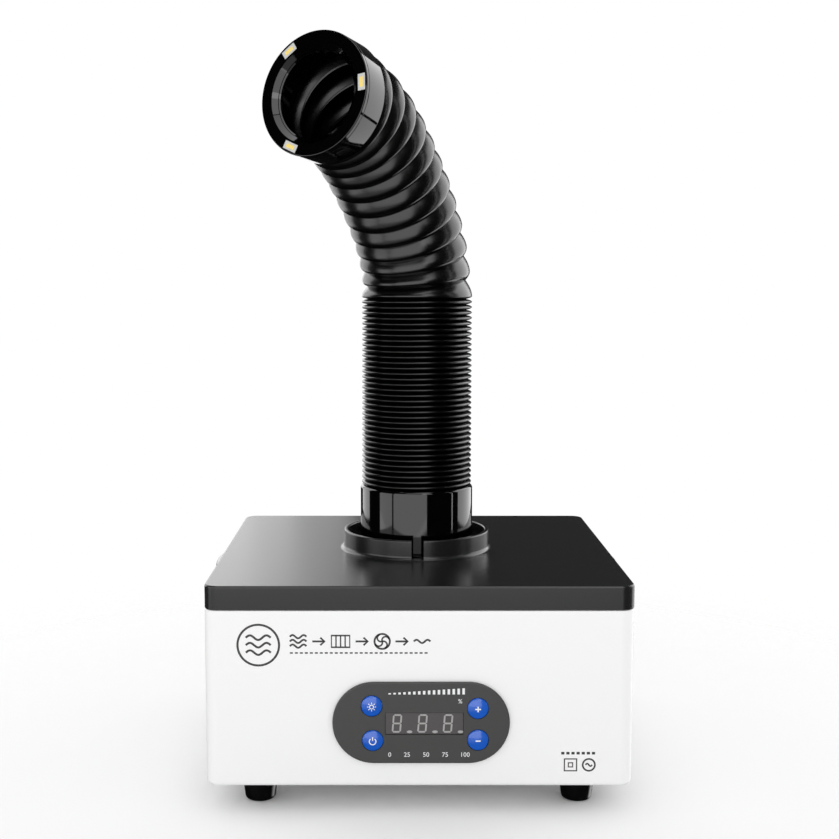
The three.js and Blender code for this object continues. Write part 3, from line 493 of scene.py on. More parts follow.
def case_section():
    floor_top = case_low.z + WALL
    tip = 0.4 * MM
    inner = TONGUE_INSET + TONGUE_WALL
    bottom = [(-x, z) for x, z in arc((-BOTTOM_EDGE, case_low.z + BOTTOM_EDGE), BOTTOM_EDGE, -90, 0)]
    return [
        (BOTTOM_EDGE + 2 * MM, case_low.z),
        *bottom,
        (0, RIM_TOP - tip),
        (tip, RIM_TOP),
        (TONGUE_INSET, RIM_TOP),
        (TONGUE_INSET, TONGUE_TOP - tip),
        (TONGUE_INSET + tip, TONGUE_TOP),
        (inner - tip, TONGUE_TOP),
        (inner, TONGUE_TOP - tip),
        (inner, SHELF_BOTTOM),
        (WALL, SHELF_BOTTOM - 2 * MM),
        (WALL, floor_top + 2 * MM),
        (WALL + 2 * MM, floor_top),
    ]


shell = skin("case_tub", [inset_ring(inset, z) for inset, z in case_section()])
print("tub faces:", len(shell.data.polygons))

# %% [markdown]
# The rear has twelve upright exhaust slots, a hole for the mains inlet, and the front has a hole
# behind the control panel. The slots are a row of round-ended bars, cut in one go.

# %% Cut the openings
PANEL_X = 1 * MM
PANEL_Z = 58.4 * MM
PANEL_LENGTH = 107.2 * MM
PANEL_HEIGHT = 50.2 * MM
SLOT_COUNT = 12
SLOT_WIDTH = 4 * MM
SLOT_HEIGHT = 42 * MM
SLOT_PITCH = 8 * MM
SLOT_X = 35 * MM
SLOT_Z = 50 * MM
inlet_low, inlet_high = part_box("mains_inlet")
INLET_X = (inlet_low.x + inlet_high.x) / 2
INLET_Z = (inlet_low.z + inlet_high.z) / 2


def bar(name, width, height, corner, low, high, x=0.0, y=0.0, count=RING_POINTS):
    """A straight-sided block with a rounded outline, drawn flat."""
    outline = rounded(width, height, corner, count) + np.array((x, y))
    return skin(name, [at_height(outline, low), at_height(outline, high)])


CUT_FROM = -5 * MM
CUT_TO = 2 * MM
PANEL_LAP = 7 * MM
panel_hole = bar("hole", PANEL_LENGTH - PANEL_LAP, PANEL_HEIGHT - PANEL_LAP, 21 * MM,
                 CUT_FROM, CUT_TO, PANEL_X, PANEL_Z)
inlet_hole = bar("hole", 28 * MM, 20.5 * MM, 1 * MM, CUT_FROM, CUT_TO, -INLET_X, INLET_Z)
slot = bar("slot", SLOT_WIDTH, SLOT_HEIGHT, 1.95 * MM, CUT_FROM, CUT_TO)
first_slot = -SLOT_X - (SLOT_COUNT - 1) / 2 * SLOT_PITCH
run_tree(slot, row_tree, count=SLOT_COUNT, step_x=SLOT_PITCH, step_y=0.0, step_z=0.0)
move(slot, ONTO_REAR @ Matrix.Translation((first_slot, SLOT_Z, 0)))
cut_away(shell, move(panel_hole, ONTO_FRONT), move(inlet_hole, ONTO_REAR), slot)
dress(shell, "shell_white", flat_normals=True)
stand_for(shell, "case", "shell_white", "case_shell")

# %% [markdown]
# ## Lid and collar
#
# The lid and its collar are one moulding. The collar grows out of the flat top in a soft fillet,
# and in satin black any break there would show as a line. So the skin runs without a seam from
# the collar's circle out to the lid's rounded rectangle: every ring has the same points, and a
# circle takes its directions from the rectangle's points.

# %% Lid skin
COLLAR_RADIUS = 49.5 * MM
COLLAR_WALL = 3 * MM
COLLAR_TOP = lid_high.z
COLLAR_FILLET = 3 * MM
LID_EDGE = 1.2 * MM
LID_PLATE = 2.5 * MM
LID_HOLE = 35.2 * MM
NOTCH_WIDTH = 8 * MM


def round_ring(radius, z):
    """A circle whose points lie in the same directions as the case outline's points."""
    outline = rounded(CASE_WIDTH, CASE_DEPTH, CORNER)
    return at_height(outline / np.linalg.norm(outline, axis=1)[:, None] * radius, z)


def lid_rings():
    ceiling = LID_TOP - LID_PLATE
    inner = COLLAR_RADIUS - COLLAR_WALL
    lip = 0.9 * MM
    rings = [round_ring(LID_HOLE, ceiling), round_ring(LID_HOLE, LID_TOP)]
    rings += [round_ring(inner - 0.6 * MM, LID_TOP), round_ring(inner, LID_TOP + 0.6 * MM)]
    rings += [round_ring(r, z) for r, z in arc((inner + lip, COLLAR_TOP - lip), lip, 180, 90, 4)]
    rings += [round_ring(r, z) for r, z in arc((COLLAR_RADIUS - lip, COLLAR_TOP - lip), lip, 90, 0, 4)]
    flare = arc((COLLAR_RADIUS + COLLAR_FILLET, LID_TOP + COLLAR_FILLET), COLLAR_FILLET, 180, 270, 10)
    rings += [round_ring(r, z) for r, z in flare]
    edge = arc((-LID_EDGE, LID_TOP - LID_EDGE), LID_EDGE, 90, 0, 5)
    rings += [inset_ring(-x, z) for x, z in edge]
    foot = lid_low.z
    tip = 0.4 * MM
    rings += [inset_ring(0, foot + tip), inset_ring(tip, foot), inset_ring(WALL, foot)]
    rings += [inset_ring(WALL, ceiling - 1 * MM), inset_ring(WALL + 1 * MM, ceiling)]
    return rings


lid = skin("lid_moulding", lid_rings(), loop=True)
NOTCH_DEPTH = 14 * MM
NOTCH_FLOOR = LID_TOP + 0.7 * MM
notch = bar("notch", NOTCH_WIDTH, NOTCH_DEPTH, 0.8 * MM, NOTCH_FLOOR, COLLAR_TOP + 5 * MM,
            0, -COLLAR_RADIUS + 1 * MM)
cut_away(lid, notch)
dress(lid, "lid_satin", flat_normals=True)
stand_for(lid, "lid", "lid_black", "lid_cover")

# %% [markdown]
# ## Side grips
#
# Each side of the lid has a glossy black lip to hook two fingers under. In plan it is a shallow
# bow. A row of cross sections along the bow makes it, thick at the top and open below, and the
# sections shrink to nothing at both ends.

# %% Grips
def grip(name, side):
    low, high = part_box(name)
    length = high.y - low.y
    reach = high.x - low.x
    root = low.x if side > 0 else high.x
    wall = 2.2 * MM
    rows = []
    for step in np.linspace(-1, 1, 33):
        bow = reach * (1 - step * step) + 0.3 * MM
        depth = min(wall, bow * 0.6)
        top = high.z
        bottom = low.z
        round_over = min(1.6 * MM, bow * 0.45)
        section = [(0, bottom), (0, top)]
        section += arc((bow - round_over, top - round_over), round_over, 90, 0, 5)
        section += [(bow, bottom + 0.6 * MM), (bow - 0.3 * MM, bottom)]
        section += [(bow - depth, bottom), (bow - depth, top - wall)]
        section += [(bow * 0.25, top - wall), (bow * 0.25, bottom)]
        y = step * length / 2
        rows.append([(root + side * min(x, reach), y, z) for x, z in section])
    piece = skin("lid_" + name, rows)
    dress(piece, "polished_black", sharp=40)
    return stand_for(piece, "lid", "gloss_black", name)


grip("grip_right", 1)
grip("grip_left", -1)

# %% [markdown]
# ## Feet
#
# The feet are tapered rubber buttons with a soft lower edge and a recess for the screw. A faint
# mould line runs near the top.

# %% Feet and their screws
FOOT_SMALL = 9.6 * MM
FOOT_EDGE = 2.4 * MM
RECESS_RADIUS = 5 * MM
RECESS_DEPTH = 6 * MM
FOOT_BORE = 2.4 * MM
SEGMENTS = 32


def foot(number):
    low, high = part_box(f"foot_{number}")
    radius = (high.x - low.x) / 2
    outline = [(RECESS_RADIUS, 0), *arc((FOOT_SMALL - FOOT_EDGE, FOOT_EDGE), FOOT_EDGE, -90, -8, 6)]
    outline += [(radius - 0.5 * MM, high.z - 1.2 * MM), (radius - 0.5 * MM, high.z - 0.9 * MM)]
    outline += [(radius, high.z - 0.6 * MM), (radius, high.z), (FOOT_BORE, high.z)]
    outline += [(FOOT_BORE, RECESS_DEPTH), (RECESS_RADIUS, RECESS_DEPTH)]
    piece = turned(f"rubber_foot_{number}", outline, 72)
    centre = ((low.x + high.x) / 2, (low.y + high.y) / 2, low.z)
    dress(move(piece, Matrix.Translation(centre)), "foot_rubber")
    stand_for(piece, "case", "foot_rubber", f"foot_{number}")
    return centre


def cross_screw(name, head, shank, thickness, length):
    """A pan-head screw, head down at z 0 and shank upwards, with a cross recess in its head."""
    crown = thickness * 0.6
    outline = [(0.02 * MM, -thickness), (head * 0.5, -thickness + 0.05 * MM)]
    outline += [(head * 0.86, -thickness + crown * 0.45), (head, -crown * 0.3), (head, 0)]
    outline += [(shank, 0), (shank, length - 0.5 * MM), (shank * 0.5, length)]
    piece = capped(name, outline, SEGMENTS)
    for turn in (0, math.pi / 2):
        blade = bar("blade", head * 1.05, head * 0.24, head * 0.08,
                    -thickness - 1 * MM, -thickness * 0.45, count=2 * SEGMENTS)
        cut_away(piece, move(blade, Matrix.Rotation(turn, 4, "Z")))
    return dress(piece, "steel_zinc")


FOOT_HEAD = 4.2 * MM
FOOT_SHANK = 2 * MM
FOOT_HEAD_THICKNESS = 3.2 * MM
for number in range(1, 5):
    x, y, _ = foot(number)
    screw_low, screw_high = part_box(f"foot_screw_{number}")
    shank_length = screw_high.z - screw_low.z - FOOT_HEAD_THICKNESS
    screw = cross_screw(f"zinc_foot_screw_{number}", FOOT_HEAD, FOOT_SHANK, FOOT_HEAD_THICKNESS, shank_length)
    move(screw, Matrix.Translation((x, y, screw_low.z + FOOT_HEAD_THICKNESS)))
    stand_for(screw, "case", "steel", f"foot_screw_{number}")

# %% [markdown]
# ## Inlet screws
#
# Two small screws hold the mains inlet at the rear. They are the same pan-head screw, turned so
# that the head faces out of the rear wall.

# %% Screws of the mains inlet
INLET_HEAD = 2.9 * MM
INLET_SHANK = 1.5 * MM
INLET_HEAD_THICKNESS = 2.2 * MM
INLET_SCREW_LENGTH = 10 * MM
FACE_REAR = Matrix.Rotation(math.pi / 2, 4, "X")
for number in (1, 2):
    name = f"inlet_screw_{number}"
    low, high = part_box(name)
    middle = (low + high) / 2
    screw = cross_screw("zinc_" + name, INLET_HEAD, INLET_SHANK, INLET_HEAD_THICKNESS, INLET_SCREW_LENGTH)
    seat = high.y - INLET_HEAD_THICKNESS
    move(screw, Matrix.Translation((middle.x, seat, middle.z)) @ FACE_REAR)
    stand_for(screw, "case", "steel", name)

# %% [markdown]
# ## Control panel
#
# The panel is a dark grey plate with half-round ends and a softened edge. It holds four domed
# buttons and a smoked window with three digits. The signs on it are plain pictures and figures.

# %% Panel plate
PANEL_PROUD = FRONT_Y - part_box("control_panel")[0].y
BUTTON_HOLE = 6.65 * MM
WINDOW_X = 2.9 * MM
WINDOW_Z = 58.05 * MM
WINDOW_LENGTH = 47.4 * MM
WINDOW_HEIGHT = 13.7 * MM
BUTTONS = ("button_lamp", "button_power", "button_up", "button_down")


def centre_of(node):
    low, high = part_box(node)
    return (low + high) / 2


def panel_ring(inset, z):
    corner = PANEL_HEIGHT / 2 - inset - 0.05 * MM
    outline = rounded(PANEL_LENGTH - 2 * inset, PANEL_HEIGHT - 2 * inset, corner)
    return at_height(outline + np.array((PANEL_X, PANEL_Z)), z)


edge = 0.7 * MM
plate_section = [(0, 0.1 * MM), (0, PANEL_PROUD - edge)]
plate_section += [(-x, z) for x, z in arc((-edge, PANEL_PROUD - edge), edge, 20, 90, 4)]
plate = skin("panel_plate", [panel_ring(inset, z) for inset, z in plate_section])
holes = []
for name in BUTTONS:
    place = centre_of(name)
    hole = capped("hole", [(BUTTON_HOLE, -2 * MM), (BUTTON_HOLE, 5 * MM)], 64)
    holes.append(move(hole, Matrix.Translation((place.x, place.z, 0))))
WINDOW_PLAY = 0.12 * MM
window_hole = bar("hole", WINDOW_LENGTH + WINDOW_PLAY, WINDOW_HEIGHT + WINDOW_PLAY, 0.6 * MM,
                  -2 * MM, 5 * MM, WINDOW_X, WINDOW_Z)
cut_away(plate, window_hole, *holes)
dress(move(plate, ONTO_FRONT), "panel_grey", flat_normals=True)
stand_for(plate, "case", "panel_grey", "control_panel")

# %% Display window and digits
LENS_OUT = FRONT_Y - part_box("display_module")[0].y
lens_inset = 0.25 * MM
lens = skin("display_lens", [
    at_height(rounded(WINDOW_LENGTH, WINDOW_HEIGHT, 0.5 * MM), -8 * MM),
    at_height(rounded(WINDOW_LENGTH, WINDOW_HEIGHT, 0.5 * MM), LENS_OUT - lens_inset),
    at_height(rounded(WINDOW_LENGTH - 2 * lens_inset, WINDOW_HEIGHT - 2 * lens_inset, 0.4 * MM), LENS_OUT),
])
move(lens, ONTO_FRONT @ Matrix.Translation((WINDOW_X, WINDOW_Z, 0)))
dress(lens, "window_smoke")
stand_for(lens, "case", "display_smoke", "display_module")

DIGIT_HEIGHT = 11.4 * MM
DIGIT_WIDTH = 5.6 * MM
STROKE = 1.0 * MM
SLANT = 0.08
DIGIT_PITCH = 15.4 * MM
FIRST_DIGIT = -13.6 * MM
POINT_X = 7.6 * MM
POINT_LENGTH = 1.7 * MM
POINT_HEIGHT = 0.85 * MM


def flat_shape(mesh_data, outline, low, high):
    """Adds a thin block with this outline to a mesh in the making."""
    bottom = [mesh_data.verts.new((x, y, low)) for x, y in outline]
    top = [mesh_data.verts.new((x, y, high)) for x, y in outline]
    count = len(outline)
    for i in range(count):
        j = (i + 1) % count
        mesh_data.faces.new((bottom[i], bottom[j], top[j], top[i]))
    mesh_data.faces.new(top)
    mesh_data.faces.new(list(reversed(bottom)))


def segment(mesh_data, start, end, low, high):
    """One bar of a digit, with pointed ends, from start to end."""
    start, end = np.array(start), np.array(end)
    along = (end - start) / np.linalg.norm(end - start)
    across = np.array((-along[1], along[0])) * STROKE / 2
    tip = along * STROKE / 2
    trim = along * 0.12 * MM
    points = [start + trim, start + trim + tip - across, end - trim - tip - across,
              end - trim, end - trim - tip + across, start + trim + tip + across]
    flat_shape(mesh_data, [(x + SLANT * y, y) for x, y in points], low, high)


def digit():
    mesh_data = bmesh.new()
    right = (DIGIT_WIDTH - STROKE) / 2
    top = (DIGIT_HEIGHT - STROKE) / 2
    low, high = LENS_OUT - 0.05 * MM, LENS_OUT + 0.08 * MM
    for y in (-top, 0, top):
        segment(mesh_data, (-right, y), (right, y), low, high)
    for x in (-right, right):
        segment(mesh_data, (x, 0), (x, top), low, high)
        segment(mesh_data, (x, -top), (x, 0), low, high)
    turns = np.linspace(0, 2 * math.pi, 24, endpoint=False)
    spot = [(POINT_X + POINT_LENGTH * math.cos(a), -top + POINT_HEIGHT * math.sin(a)) for a in turns]
    flat_shape(mesh_data, spot, low, high)
    bmesh.ops.recalc_face_normals(mesh_data, faces=mesh_data.faces)
    return as_object("display_digits", mesh_data)


digits = digit()
run_tree(digits, row_tree, count=3, step_x=DIGIT_PITCH, step_y=0.0, step_z=0.0,
         material=FINISHES["segment_grey"])
move(digits, ONTO_FRONT @ Matrix.Translation((FIRST_DIGIT, WINDOW_Z, 0)))
dress(digits, "segment_grey")
stand_for(digits, "case", "display_smoke")

# %% [markdown]
# ## Buttons
#
# The buttons are glossy blue domes. Their signs lie on the dome, so each sign is drawn flat and
# each of its points is lifted onto the dome's curve: that keeps it a thin, even print.

# %% Domes
BUTTON_RADIUS = 6.35 * MM
BUTTON_RIM = 2.4 * MM
BUTTON_CROWN = 3.9 * MM
STEM_RADIUS = 2.5 * MM
STEM_LENGTH = 5.7 * MM
FLANGE = 1 * MM
FLANGE_RADIUS = 7 * MM
DOME_RADIUS = ((BUTTON_CROWN - BUTTON_RIM) ** 2 + BUTTON_RADIUS ** 2) / (2 * (BUTTON_CROWN - BUTTON_RIM))


def dome_height(radius):
    return BUTTON_CROWN - DOME_RADIUS + math.sqrt(DOME_RADIUS ** 2 - radius ** 2)


def button(name):
    shoulder = 0.5 * MM
    outline = [(STEM_RADIUS, -STEM_LENGTH), (STEM_RADIUS, -FLANGE)]
    outline += [(FLANGE_RADIUS, -FLANGE), (FLANGE_RADIUS, 0), (BUTTON_RADIUS, 0)]
    outline += [(BUTTON_RADIUS, BUTTON_RIM - shoulder), (BUTTON_RADIUS - 0.12 * MM, BUTTON_RIM - 0.1 * MM)]
    outline += [(r, dome_height(r)) for r in np.linspace(BUTTON_RADIUS - shoulder, 0.05 * MM, 12)]
    place = centre_of(name)
    piece = capped("dome_" + name, outline, 64)
    move(piece, ONTO_FRONT @ Matrix.Translation((place.x, place.z, 0)))
    dress(piece, "button_blue", sharp=45)
    return stand_for(piece, name, "button_blue", name)


for name in BUTTONS:
    button(name)


# %% [markdown]
# All prints are thin ribbons of ink that follow a path. A ribbon's sides are offset from the path
# along the mean direction of the two steps that meet at each point, so its corners are mitred and
# the ribbon is one closed strip. On a dome, every point is then lifted onto the dome.

# %% Ribbons of ink
INK = 0.06 * MM


def ribbon(mesh_data, path, width, closed=False):
    """Adds a strip of ink along a path of points in millimetres."""
    points = np.array(path, float) * MM
    if closed:
        steps = np.roll(points, -1, axis=0) - np.roll(points, 1, axis=0)
    else:
        steps = np.gradient(points, axis=0)
    steps /= np.linalg.norm(steps, axis=1)[:, None]
    side = np.column_stack((-steps[:, 1], steps[:, 0])) * width * MM / 2
    rows = []
    for left, right in zip(points + side, points - side):
        rows.append([mesh_data.verts.new((*left, 0)), mesh_data.verts.new((*right, 0)),
                     mesh_data.verts.new((*right, INK)), mesh_data.verts.new((*left, INK))])
    pairs = list(zip(rows, rows[1:])) + ([(rows[-1], rows[0])] if closed else [])
    for a, b in pairs:
        for i in range(4):
            j = (i + 1) % 4
            mesh_data.faces.new((a[i], a[j], b[j], b[i]))
    if not closed:
        mesh_data.faces.new(list(reversed(rows[0])))
        mesh_data.faces.new(rows[-1])


def straight(x1, y1, x2, y2, steps=10):
    return [(x1 + (x2 - x1) * t, y1 + (y2 - y1) * t) for t in np.linspace(0, 1, steps + 1)]


def curve(radius, start, end, steps=32, x=0.0, y=0.0):
    angles = np.radians(np.linspace(start, end, steps + 1))
    return [(x + radius * math.cos(a), y + radius * math.sin(a)) for a in angles]


def wave(x, y, length, height, humps=1.5, steps=30):
    shares = np.linspace(0, 1, steps + 1)
    return [(x + length * t, y + height * math.sin(2 * math.pi * humps * t)) for t in shares]


def ink(name, ribbons, material):
    """A print made of (path, width, closed) ribbons, drawn flat."""
    mesh_data = bmesh.new()
    for path, width, closed in ribbons:
        ribbon(mesh_data, path[:-1] if closed else path, width, closed)
    bmesh.ops.recalc_face_normals(mesh_data, faces=mesh_data.faces)
    return dress(as_object(name, mesh_data), material)


# %% Signs on the domes
RAYS = [(straight(1.8 * c, 1.8 * s, 2.7 * c, 2.7 * s, 2), 0.45, False)
        for c, s in ((math.cos(a), math.sin(a)) for a in np.arange(8) * math.pi / 4)]
SIGNS = {
    "button_up": [(straight(-1.7, 0, 1.7, 0), 0.8, False), (straight(0, -1.7, 0, 1.7), 0.8, False)],
    "button_down": [(straight(-1.5, 0, 1.5, 0), 0.8, False)],
    "button_power": [(curve(2, 130, 410), 0.6, False), (straight(0, 0.5, 0, 2.7), 0.6, False)],
    "button_lamp": [(curve(1.2, 0, 360), 0.5, True), *RAYS],
}


def sign(name):
    piece = ink("sign_" + name, SIGNS[name], "print_white")
    for vertex in piece.data.vertices:
        vertex.co.z += dome_height(math.hypot(vertex.co.x, vertex.co.y)) - 0.02 * MM
    place = centre_of(name)
    move(piece, ONTO_FRONT @ Matrix.Translation((place.x, place.z, 0)))
    return stand_for(piece, name, "button_blue")


for name in BUTTONS:
    sign(name)

# %% [markdown]
# ## Prints
#
# The panel carries a rising speed scale above the window and the numbers of the scale below it.
# The case carries a row of pictures for what the machine does: fumes, filter, fan, clean air. Figures
# are text objects turned into meshes and given the thickness of ink.

# %% Figures and scale on the panel
def figures(text, size, x, y):
    """A figure or sign as a flat mesh, centred on x, y in millimetres."""
    data = bpy.data.curves.new("figures", "FONT")
    data.body = text
    data.size = size * MM
    data.align_x = "CENTER"
    data.align_y = "CENTER"
    data.extrude = INK / 2
    data.resolution_u = 3
    source = bpy.data.objects.new("figures", data)
    bpy.context.scene.collection.objects.link(source)
    mesh = bpy.data.meshes.new_from_object(source.evaluated_get(bpy.context.evaluated_depsgraph_get()))
    bpy.data.objects.remove(source)
    piece = bpy.data.objects.new("figures", mesh)
    bpy.context.scene.collection.objects.link(piece)
    return move(piece, Matrix.Translation((x * MM, y * MM, 0)))


def joined(name, pieces):
    """Joins flat meshes into one piece."""
    mesh_data = bmesh.new()
    for piece in pieces:
        mesh_data.from_mesh(piece.data)
        bpy.data.objects.remove(piece)
    bmesh.ops.remove_doubles(mesh_data, verts=mesh_data.verts, dist=1e-7)
    return as_object(name, mesh_data)


PANEL_FACE = ONTO_FRONT @ Matrix.Translation((0, 0, PANEL_PROUD))
SCALE_NUMBERS = ((0, -18), (25, -7.5), (50, 4), (75, 15.5), (100, 27.5))
NUMBERS_Z = 38.7
drawn = [figures(str(n), 4.0, x, NUMBERS_Z) for n, x in SCALE_NUMBERS]
numbers = joined("panel_numbers", drawn + [figures("%", 3.8, 24.5, 71.8)])
dress(move(numbers, PANEL_FACE), "print_white")
stand_for(numbers, "case", "panel_grey")

BAR_COUNT = 16
BARS_Z = 76.2
bars = []
for i, x in enumerate(np.linspace(-18, 26.5, BAR_COUNT)):
    bars.append((straight(x, BARS_Z, x, BARS_Z + 0.8 + 3.0 * i / (BAR_COUNT - 1), 1), 1.5, False))
scale = move(ink("panel_scale", bars, "print_white"), PANEL_FACE)
stand_for(scale, "case", "panel_grey")

# %% Pictures on the case
def shifted(ribbons, x, y):
    return [([(px + x, py + y) for px, py in path], width, closed) for path, width, closed in ribbons]


def box_outline(left, low, side_x, side_y):
    right, high = left + side_x, low + side_y
    return [(left, low), (right, low), (right, high), (left, high), (left, low)]


LINE = 1.15
THIN_LINE = LINE * 0.85
ARROW = [(straight(0, 0, 7, 0), LINE, False), ([(4.8, 2.3), (7.4, 0), (4.8, -2.3)], LINE, False)]
FILTER = [(box_outline(0, -3.6, 11, 7.2), LINE, True)]
FILTER += [(straight(x, -3.6, x, 3.6, 1), LINE * 0.7, False) for x in (2.75, 5.5, 8.25)]
BLADE_RADIUS = 2.2
FAN = [(curve(4.6, 0, 360, 48), LINE, True)]
for turn in (20, 110, 200, 290):
    hub_x = BLADE_RADIUS * math.cos(math.radians(turn))
    hub_y = BLADE_RADIUS * math.sin(math.radians(turn))
    FAN.append((curve(BLADE_RADIUS, turn, turn + 180, 12, hub_x, hub_y), THIN_LINE, False))
FUMES = [(wave(0, y, 10, 1.0), LINE, False) for y in (-2.9, 0, 2.9)]
CLEAN_AIR = [(wave(0, 0, 10, 1.0), LINE, False)]
EMBLEM_LINE = 1.3
EMBLEM = [(curve(12.5, 0, 360, 64), EMBLEM_LINE, True)]
EMBLEM += [(wave(-7.5, y, 15, 1.4), EMBLEM_LINE, False) for y in (-4.6, 0, 4.6)]
ROW = ((FUMES, 0), (ARROW, 13.5), (FILTER, 25), (ARROW, 39.5), (FAN, 55.5), (ARROW, 63.5),
       (CLEAN_AIR, 74.5))
EMBLEM_X, EMBLEM_Z = -97, 106
ROW_X, ROW_Z = -78, 108.3
UNDERLINE_Z = 101.2
DASH, DASH_PITCH = 1.8, 3
picture_ribbons = shifted(EMBLEM, EMBLEM_X, EMBLEM_Z)
for picture, x in ROW:
    picture_ribbons += shifted(picture, ROW_X + x, ROW_Z)
for x in np.arange(ROW_X, ROW_X + 84, DASH_PITCH):
    picture_ribbons.append((straight(x, UNDERLINE_Z, x + DASH, UNDERLINE_Z, 1), 0.9, False))
prints = ink("case_pictures", picture_ribbons, "print_grey")
stand_for(move(prints, ONTO_FRONT), "case", "shell_white")

SIGN_X, SIGN_Z = 102.8, 31.7
small_marks = [(straight(x, 39, x + 1.9, 39, 1), 1.6, False) for x in np.arange(86, 107, 3.1)]
small_marks += [(box_outline(88, 28, 7.4, 7.4), 1.0, True), (box_outline(90.4, 30.4, 2.6, 2.6), 0.9, True)]
small_marks += [(curve(3.7, 0, 360, 40, SIGN_X, SIGN_Z), 1.0, True)]
small_marks += [(wave(SIGN_X - 2, SIGN_Z, 4, 0.8, 1), 0.9, False)]
marks = ink("case_marks", small_marks, "print_grey")
stand_for(move(marks, ONTO_FRONT), "case", "shell_white")

# %% [markdown]
# ## Hose
#
# The hose is one thin corrugated wall. Low down its folds are pushed together, and above that
# they are pulled open and bent. Its section repeats fold by fold, so a Geometry Nodes tree makes
# it: a straight line gets a radius that follows the folds' shape, and a circle is swept along
# it. Within a fold the wall climbs steeply from the valley to a round crest and comes down in a
# longer bulge, and "Crest Place" says where the crest lies.

# %% The corrugated hose tree
class Formula:
    """Writes arithmetic on node sockets as nodes."""

    def __init__(self, tree):
        self.tree = tree

    def __call__(self, operation, *values):
        node = self.tree.nodes.new("ShaderNodeMath")
        node.operation = operation
        for socket, value in zip(node.inputs, values):
            if isinstance(value, (int, float)):
                socket.default_value = value
            else:
                link(self.tree, value, socket)
        return node.outputs[0]


HOSE_INPUTS = ["Length", "Fold Length", "Crest Place", "Crest Radius", "Valley Radius", "Roundness"]
hose_tree, hose_in, hose_out = new_tree("corrugated_hose", HOSE_INPUTS, ["Rings", "Sides"])
calc = Formula(hose_tree)
line = hose_tree.nodes.new("GeometryNodeCurvePrimitiveLine")
line_end = hose_tree.nodes.new("ShaderNodeCombineXYZ")
link(hose_tree, hose_in.outputs["Length"], line_end.inputs["Z"])
link(hose_tree, line_end.outputs["Vector"], line.inputs["End"])
rings = hose_tree.nodes.new("GeometryNodeResampleCurve")
link(hose_tree, line.outputs["Curve"], rings.inputs["Curve"])
link(hose_tree, hose_in.outputs["Rings"], rings.inputs["Count"])
along = hose_tree.nodes.new("GeometryNodeSplineParameter")
past_start = calc("ADD", along.outputs["Length"], 1e-7)
share = calc("FRACT", calc("DIVIDE", past_start, hose_in.outputs["Fold Length"]))
crest = hose_in.outputs["Crest Place"]
climb = calc("DIVIDE", share, crest)
descent = calc("DIVIDE", calc("SUBTRACT", 1.0, share), calc("SUBTRACT", 1.0, crest))
swell = calc("SINE", calc("MULTIPLY", calc("MINIMUM", climb, descent), math.pi / 2))
height = calc("POWER", swell, hose_in.outputs["Roundness"])
depth = calc("SUBTRACT", hose_in.outputs["Crest Radius"], hose_in.outputs["Valley Radius"])
radius = calc("ADD", hose_in.outputs["Valley Radius"], calc("MULTIPLY", height, depth))
section = hose_tree.nodes.new("GeometryNodeCurvePrimitiveCircle")
link(hose_tree, hose_in.outputs["Sides"], section.inputs["Resolution"])
section.inputs["Radius"].default_value = 1.0
swept = hose_tree.nodes.new("GeometryNodeCurveToMesh")
link(hose_tree, rings.outputs["Curve"], swept.inputs["Curve"])
link(hose_tree, section.outputs["Curve"], swept.inputs["Profile Curve"])
link(hose_tree, radius, swept.inputs["Scale"])
real = hose_tree.nodes.new("GeometryNodeRealizeInstances")
link(hose_tree, swept.outputs["Mesh"], real.inputs["Geometry"])
coat = hose_tree.nodes.new("GeometryNodeSetMaterial")
link(hose_tree, real.outputs["Geometry"], coat.inputs["Geometry"])
link(hose_tree, hose_in.outputs["Material"], coat.inputs["Material"])
link(hose_tree, coat.outputs["Geometry"], hose_out.inputs["Geometry"])
print("hose tree nodes:", len(hose_tree.nodes))

# %% [markdown]
# The bend is a plane curve. Its direction turns fastest at both ends, as a hose does that is
# held at its foot and weighed down by its nozzle. The same rule placed the hinges, so the fold
# hinges lie on this curve. A straight length of hose is wrapped along it.

# %% The bend
bend_axis = Vector(joints["bend_1"]["axis"])
LEAN = bend_axis.cross(Vector((0, 0, 1)))
BEND_LENGTH = 163.6 * MM
BEND_TOTAL = math.radians(80.67)
BEND_ENDS = 0.56
FOLDS = 11
VALLEY_PLACE = 0.65
FOLD_PITCH = BEND_LENGTH / (FOLDS + VALLEY_PLACE)


def bend_angle(s):
    t = s / BEND_LENGTH
    return BEND_TOTAL * (t + BEND_ENDS * math.sin(2 * math.pi * t) / (2 * math.pi))


def bend_point(s):
    steps = 64
    ds = s / steps
    angles = [bend_angle((i + 0.5) * ds) for i in range(steps)]
    lean = sum(math.sin(a) for a in angles) * ds
    rise = sum(math.cos(a) for a in angles) * ds
    return LEAN * lean + Vector((0, 0, HOSE_NECK + rise))


def bend_frame(s):
    """The place and directions of the hose at s: across the bend, the hinge axis, and along."""
    angle = bend_angle(s)
    across = LEAN * math.cos(angle) - Vector((0, 0, math.sin(angle)))
    ahead = LEAN * math.sin(angle) + Vector((0, 0, math.cos(angle)))
    matrix = Matrix((across, bend_axis, ahead)).transposed().to_4x4()
    matrix.translation = bend_point(s)
    return matrix


def wrap(piece, start):
    """Wraps an upright piece along the bend. Its z 0 comes to start. Below 0 the hose is straight."""
    frames = {}
    for vertex in piece.data.vertices:
        s = start + vertex.co.z
        key = round(s, 7)
        if key not in frames:
            frames[key] = bend_frame(s) if s > 0 else bend_frame(0) @ Matrix.Translation((0, 0, s))
        vertex.co = frames[key] @ Vector((vertex.co.x, vertex.co.y, 0))
    return piece


hinges = [Vector(joints[f"bend_{i + 1}"]["pos_m"]) for i in range(FOLDS + 1)]
miss = max((bend_point(i * FOLD_PITCH) - hinge).length for i, hinge in enumerate(hinges))
print("hinges lie on the curve to within", round(miss * 1000, 4), "mm")
